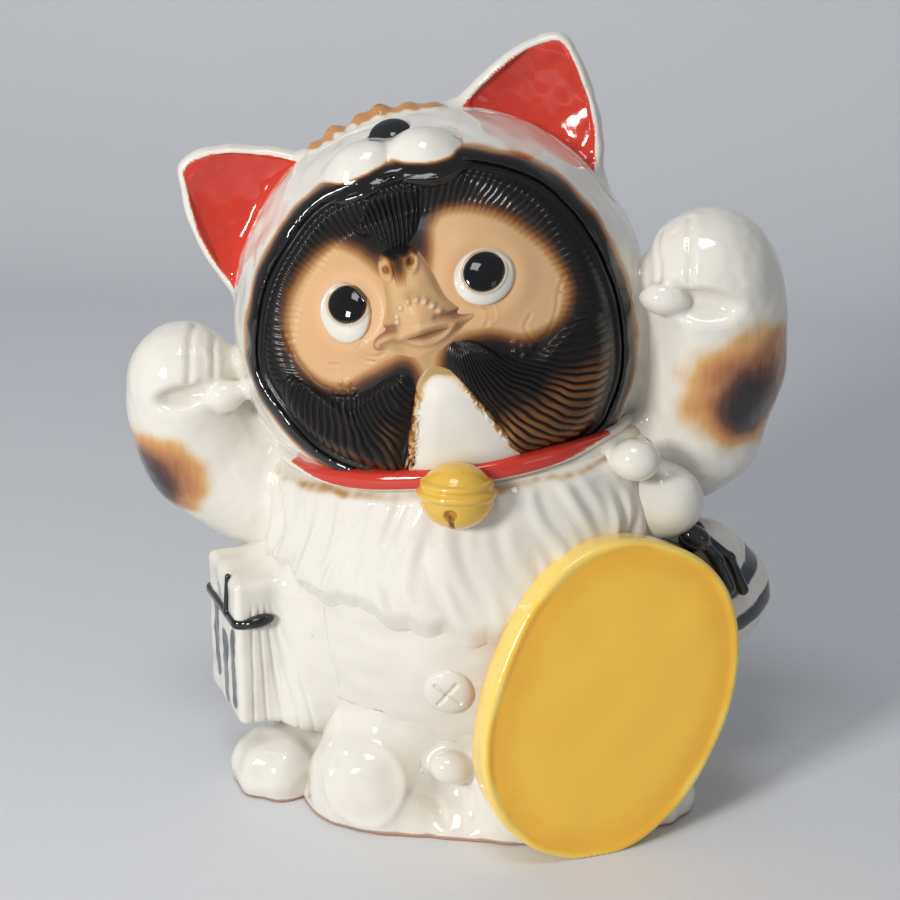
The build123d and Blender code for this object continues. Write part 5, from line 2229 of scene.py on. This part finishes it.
@dataclass
class Ledger:
    """Bound account book on the right hip with its cord."""

    at: Point = (-85.0, -49.1, 62.5)
    azimuth: float = -60.0
    half: Point = (23.0, 15.0, 31.0)
    corner: float = 3.2
    leaves: tuple[Spot, ...] = ((-8.6, -9.6), (-5.4, -4.2), (-2.6, 1.6), (0.0, 7.2), (2.4, 12.4))
    bars: tuple[tuple[float, ...], ...] = (
        (13.0, -23.0, 6.0, 3.3), (1.5, -24.0, 0.0, 3.9), (-11.0, -19.0, 9.0, 3.0),
    )

    def local(self, p: Array) -> Array:
        """Points in the book's own frame: across, inward and up."""
        return (p - np.asarray(self.at)) @ turned(z=self.azimuth)

    def slab(self, p: Array) -> Array:
        """The book's block, wider at the foot.

        Args:
            p: Points.

        Returns:
            Distances in mm.
        """
        q = self.local(p)
        spread = np.interp(q[..., 2], [-31.0, 10.0, 31.0], [1.0, 0.93, 0.90])
        size = np.abs(np.stack([q[..., 0] / spread, q[..., 1], q[..., 2]], axis=-1))
        d = size - (np.asarray(self.half) - self.corner)
        return np.linalg.norm(np.maximum(d, 0.0), axis=-1) + np.minimum(d.max(axis=-1), 0.0) - self.corner

    def block(self, p: Array) -> Array:
        """The book with its spine, luted on the body."""
        spine = roll(self.local(p), (23.0, 14.0, -26.0), (19.0, 15.0, 24.0), 10.5, 7.0)
        return luted(meld(self.slab(p), spine, 9.0), BUILD.flank(p), 12.0)

    def book(self) -> Piece:
        """The book with scored leaves and plain brush bars.

        Returns:
            The piece.
        """
        at = np.asarray(self.at)
        skin = cast(self.block, at - [42, 42, 38], at + [42, 42, 38], 0.7)
        skin.swell(0.14 * lumps(skin.verts, 13.0, 141))
        q = self.local(skin.verts)
        page = ease(q[:, 0], 12.0, 17.0) * ease(q[:, 2], 23.0, 17.0)
        for y0, y1 in self.leaves:
            near = np.abs(q[:, 1] - y0 - (y1 - y0) * (18.0 - q[:, 2]) / 49.0)
            skin.swell(-0.60 * page * mound(near, 0.6))
        ink = np.zeros(len(q))
        uneven = 0.5 * lumps(skin.verts, 8.0, 143)
        for x0, low, high, half in self.bars:
            stroke = ((x0 + 0.8, high), (x0, 0.5 * (low + high)), (x0 + 1.0, low))
            d = trail(q[:, 0], q[:, 2], stroke) - half - uneven
            ink = np.maximum(ink, ease(d, 0.8, -0.8))
        skin.paint["ink"] = 0.9 * ease(-q[:, 1], 11.5, 13.5) * ink
        return fire("ledger", skin, Finish.CREAM, 5)

    def cord(self) -> Piece:
        """The cord round the book with its knot.

        Returns:
            The piece.
        """

        def form(p: Array) -> Array:
            """The cord, luted on the body.

            Args:
                p: Points.

            Returns:
                Distances in mm.
            """
            q = self.local(p)
            band = common(np.abs(self.slab(p) - 0.3) - 1.3, np.abs(q[..., 2] - 14.0) - 1.9, 1.4)
            band = common(band, q[..., 1] + 1.0, 1.4)
            rise = roll(q, (9.0, -15.6, 15.0), (10.0, -14.8, 31.0), 1.5, 1.2)
            knot = egg(q, (22.6, -6.0, 15.2), (3.0, 6.4, 2.7), turned(x=8.0))
            return luted(meld(meld(band, knot, 1.5), rise, 1.2), BUILD.flank(p), 1.0, 2.5)

        at = np.asarray(self.at)
        skin = cast(form, at + [-32, -34, 6], at + [32, 34, 36], 0.7)
        return fire("ledger_cord", skin, Finish.BLACK, 4)

    def build(self) -> list[Piece]:
        """Book and cord."""
        return [self.book(), self.cord()]


@dataclass
class Flask:
    """Gourd flask on the left hip with its stopper and bow."""

    foot: Point = (98.4, -15.6, 80.9)
    top: Point = (67.4, -52.7, 144.1)
    bulb_radii: tuple[float, float] = (23.5, 20.0)
    shoulder_radii: Point = (16.0, 14.0, 15.5)
    waist: float = 0.42

    def __post_init__(self) -> None:
        """Works out the flask's axis."""
        span = np.asarray(self.top) - np.asarray(self.foot)
        self.axis = span / np.linalg.norm(span)

    def along(self, t: float) -> Array:
        """Point on the axis, t from 0 at the lower bulb to 1 at the top."""
        return np.asarray(self.foot) * (1 - t) + np.asarray(self.top) * t

    def gourd(self, p: Array) -> Array:
        """Two bulbs with a waist.

        Args:
            p: Points.

        Returns:
            Distances in mm.
        """
        low = chain(p, (self.along(-0.06), self.along(0.16)), self.bulb_radii, 6.0)
        high = egg(p, self.along(0.73) + [3.0, 1.0, -0.5], self.shoulder_radii)
        return meld(low, high, 5.0)

    def seated(self, p: Array) -> Array:
        """The gourd, luted on the body."""
        return luted(self.gourd(p), BUILD.flank(p), 9.0)

    def bottle(self) -> Piece:
        """The flask with two plain brush bands.

        Returns:
            The piece.
        """
        skin = cast(self.seated, (46, -76, 46), (130, 22, 158), 1.0)
        skin.swell(0.2 * lumps(skin.verts, 13.0, 151))
        v = skin.verts
        tilt = (v - np.asarray(self.foot)) @ self.axis + 0.25 * (v[:, 1] + 25.0)
        bands = np.maximum(ease(np.abs(tilt - 8.0), 4.6, 2.8), ease(np.abs(tilt + 7.0), 4.0, 2.4))
        ink = np.clip(bands + 0.15 * lumps(v, 5.0, 153) * bands, 0.0, 1.0)
        skin.paint["ink"] = 0.72 * ease(v[:, 0], 96.0, 108.0) * ink
        return fire("flask", skin, Finish.CREAM, 6)

    def stopper(self) -> Piece:
        """The stopper with a stain on its top.

        Returns:
            The piece.
        """

        def form(p: Array) -> Array:
            """The stopper, luted on the flask, the body and the hood.

            Args:
                p: Points.

            Returns:
                Distances in mm.
            """
            cap = egg(p, (68.0, -56.5, 148.5), (9.6, 8.6, 8.4))
            base = np.minimum(np.minimum(self.gourd(p), BUILD.flank(p)), BUILD.hood(p))
            return luted(cap, base, 6.0, 3.0)

        skin = cast(form, (54, -70, 134), (83, -42, 163), 0.7)
        height = skin.verts[:, 2] + 0.6 * lumps(skin.verts, 5.0, 155)
        skin.paint["ochre"] = 0.4 * ease(height, 155.0, 157.5)
        return fire("flask_stopper", skin, Finish.CREAM, 5)

    def cord(self) -> Piece:
        """The cord at the waist with its bow.

        Returns:
            The piece.
        """

        def form(p: Array) -> Array:
            """The cord, luted on the flask and the body.

            Args:
                p: Points.

            Returns:
                Distances in mm.
            """
            off = (p - self.along(self.waist)) @ self.axis
            band = common(np.abs(self.gourd(p) - 0.4) - 1.6, np.abs(off) - 2.6, 2.0)
            knot = egg(p, (92.0, -45.0, 113.0), (6.4, 4.4, 4.6), turned(y=25.0))
            bow = egg(p, (82.0, -52.5, 110.0), (8.0, 4.2, 3.9), turned(y=16.0))
            inner_tail = chain(p, ((94, -44, 112), (101, -44, 103), (106, -45, 92)), (2.4, 2.6, 3.0), 2.0)
            outer_tail = chain(p, ((95, -41, 112), (106, -38, 102), (112, -37, 88)), (2.0, 2.0, 2.4), 2.0)
            out = meld(meld(knot, bow, 1.5), meld(inner_tail, outer_tail, 1.0), 1.2)
            return luted(meld(band, out, 1.2), np.minimum(self.gourd(p), BUILD.flank(p)), 1.0, 2.5)

        skin = cast(form, (64, -66, 78), (124, -10, 130), 0.75)
        return fire("flask_cord", skin, Finish.BLACK, 4)

    def build(self) -> list[Piece]:
        """Flask, stopper and cord."""
        return [self.bottle(), self.stopper(), self.cord()]


# Stage


@dataclass(frozen=True)
class Lamp:
    """A soft box that is aimed at the figure; metres and watts."""

    name: str
    at: Point
    size: Spot
    power: float
    colour: Colour

    def hang(self, target: Point) -> None:
        """Adds the lamp to the scene.

        Args:
            target: What it is aimed at.
        """
        data = bpy.data.lights.new(self.name, "AREA")
        data.shape = "RECTANGLE"
        data.size, data.size_y = self.size
        data.energy = self.power
        data.color = self.colour
        lamp = bpy.data.objects.new(self.name, data)
        lamp.location = self.at
        aim = Vector(target) - Vector(self.at)
        lamp.rotation_euler = aim.to_track_quat("-Z", "Y").to_euler()
        bpy.context.scene.collection.objects.link(lamp)


@dataclass
class Studio:
    """Pale sweep, soft lights and the camera at the photo's angle."""

    target: Point = (-0.012, 0.0, 0.128)
    azimuth: float = 8.0
    elevation: float = 20.0
    distance: float = 0.8
    lens: float = 76.0
    sensor: float = 36.0
    room: Colour = (0.86, 0.89, 0.95)
    room_power: float = 0.30
    back: float = 0.66
    bend: float = 0.34
    top: float = 2.2
    lamps: tuple[Lamp, ...] = (
        Lamp("key_box", (-0.78, -1.22, 0.66), (0.30, 0.36), 16.5, (1.0, 0.985, 0.96)),
        Lamp("top_box", (-0.15, -0.5, 1.5), (0.5, 0.4), 4.2, (0.97, 0.985, 1.0)),
        Lamp("fill_box", (1.3, -1.0, 0.5), (0.4, 0.6), 0.7, (0.95, 0.975, 1.0)),
    )

    @staticmethod
    def paper() -> bpy.types.Material:
        """Faintly uneven grey paper.

        Returns:
            The material.
        """
        s = Sheet("sweep_paper")
        place = s.place()
        tone = s.mix(s.cloud(place, 260.0, 3.0), (0.70, 0.712, 0.738), (0.73, 0.74, 0.76))
        tone = s.mix(s.cloud(place, 3.0, 3.0) * 0.12, tone, (0.45, 0.46, 0.48))
        relief = {"Strength": 0.08, "Distance": 0.001, "Height": s.cloud(place, 2.0, 4.0)}
        bump = s.node("ShaderNodeBump", {}, relief).value("Normal")
        inputs = {"Base Color": tone, "Roughness": 0.62, "Normal": bump}
        return s.finished(s.node("ShaderNodeBsdfPrincipled", {}, inputs))

    def sweep(self) -> None:
        """Floor that curves up into a backdrop."""
        path = [(-2.4, 0.0), (-1.0, 0.0), (0.0, 0.0)]
        for a in np.linspace(0.0, math.pi / 2, 24):
            path.append((self.back + self.bend * math.sin(a), self.bend - self.bend * math.cos(a)))
        path.append((self.back + self.bend, self.top))
        across = np.linspace(-3.2, 3.2, 24)
        skin = lattice(np.array([[(x, y, z) for x in across] for y, z in path]))
        skin.flip()
        mesh = bpy.data.meshes.new("sweep")
        mesh.from_pydata(skin.verts.tolist(), [], skin.faces.tolist())
        mesh.polygons.foreach_set("use_smooth", np.ones(len(skin.faces), bool))
        mesh.materials.append(self.paper())
        sweep = bpy.data.objects.new("sweep", mesh)
        bpy.context.scene.collection.objects.link(sweep)

    def air(self) -> None:
        """Even light of the room."""
        world = bpy.data.worlds.new("room")
        world.use_nodes = True
        background = world.node_tree.nodes["Background"]
        background.inputs[0].default_value = (*self.room, 1.0)
        background.inputs[1].default_value = self.room_power
        bpy.context.scene.world = world

    def camera(self) -> None:
        """Camera at the photo's angle."""
        a, e = math.radians(self.azimuth), math.radians(self.elevation)
        away = Vector((math.sin(a) * math.cos(e), -math.cos(a) * math.cos(e), math.sin(e)))
        data = bpy.data.cameras.new("camera")
        data.lens = self.lens
        data.sensor_width = self.sensor
        data.sensor_fit = "AUTO"
        camera = bpy.data.objects.new("camera", data)
        camera.location = Vector(self.target) + away * self.distance
        camera.rotation_euler = (-away).to_track_quat("-Z", "Y").to_euler()
        bpy.context.scene.collection.objects.link(camera)
        bpy.context.scene.camera = camera

    def build(self) -> None:
        """Sweep, lights, world and camera."""
        self.sweep()
        for lamp in self.lamps:
            lamp.hang(self.target)
        self.air()
        self.camera()
        bpy.context.scene.view_settings.view_transform = "Standard"


def main() -> None:
    """Builds the figure and the stage, and logs each piece's face count."""
    logging.basicConfig(level=logging.INFO, format="%(message)s")
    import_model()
    for assembly in (Body(), *arms(), Hood(), Face(), Neck(), Koban(), Ledger(), Flask()):
        for piece in assembly.build():
            LOG.info("%s: %d faces", piece.name, len(piece.data.polygons))
    Studio().build()


if __name__ == "__main__":
    main()
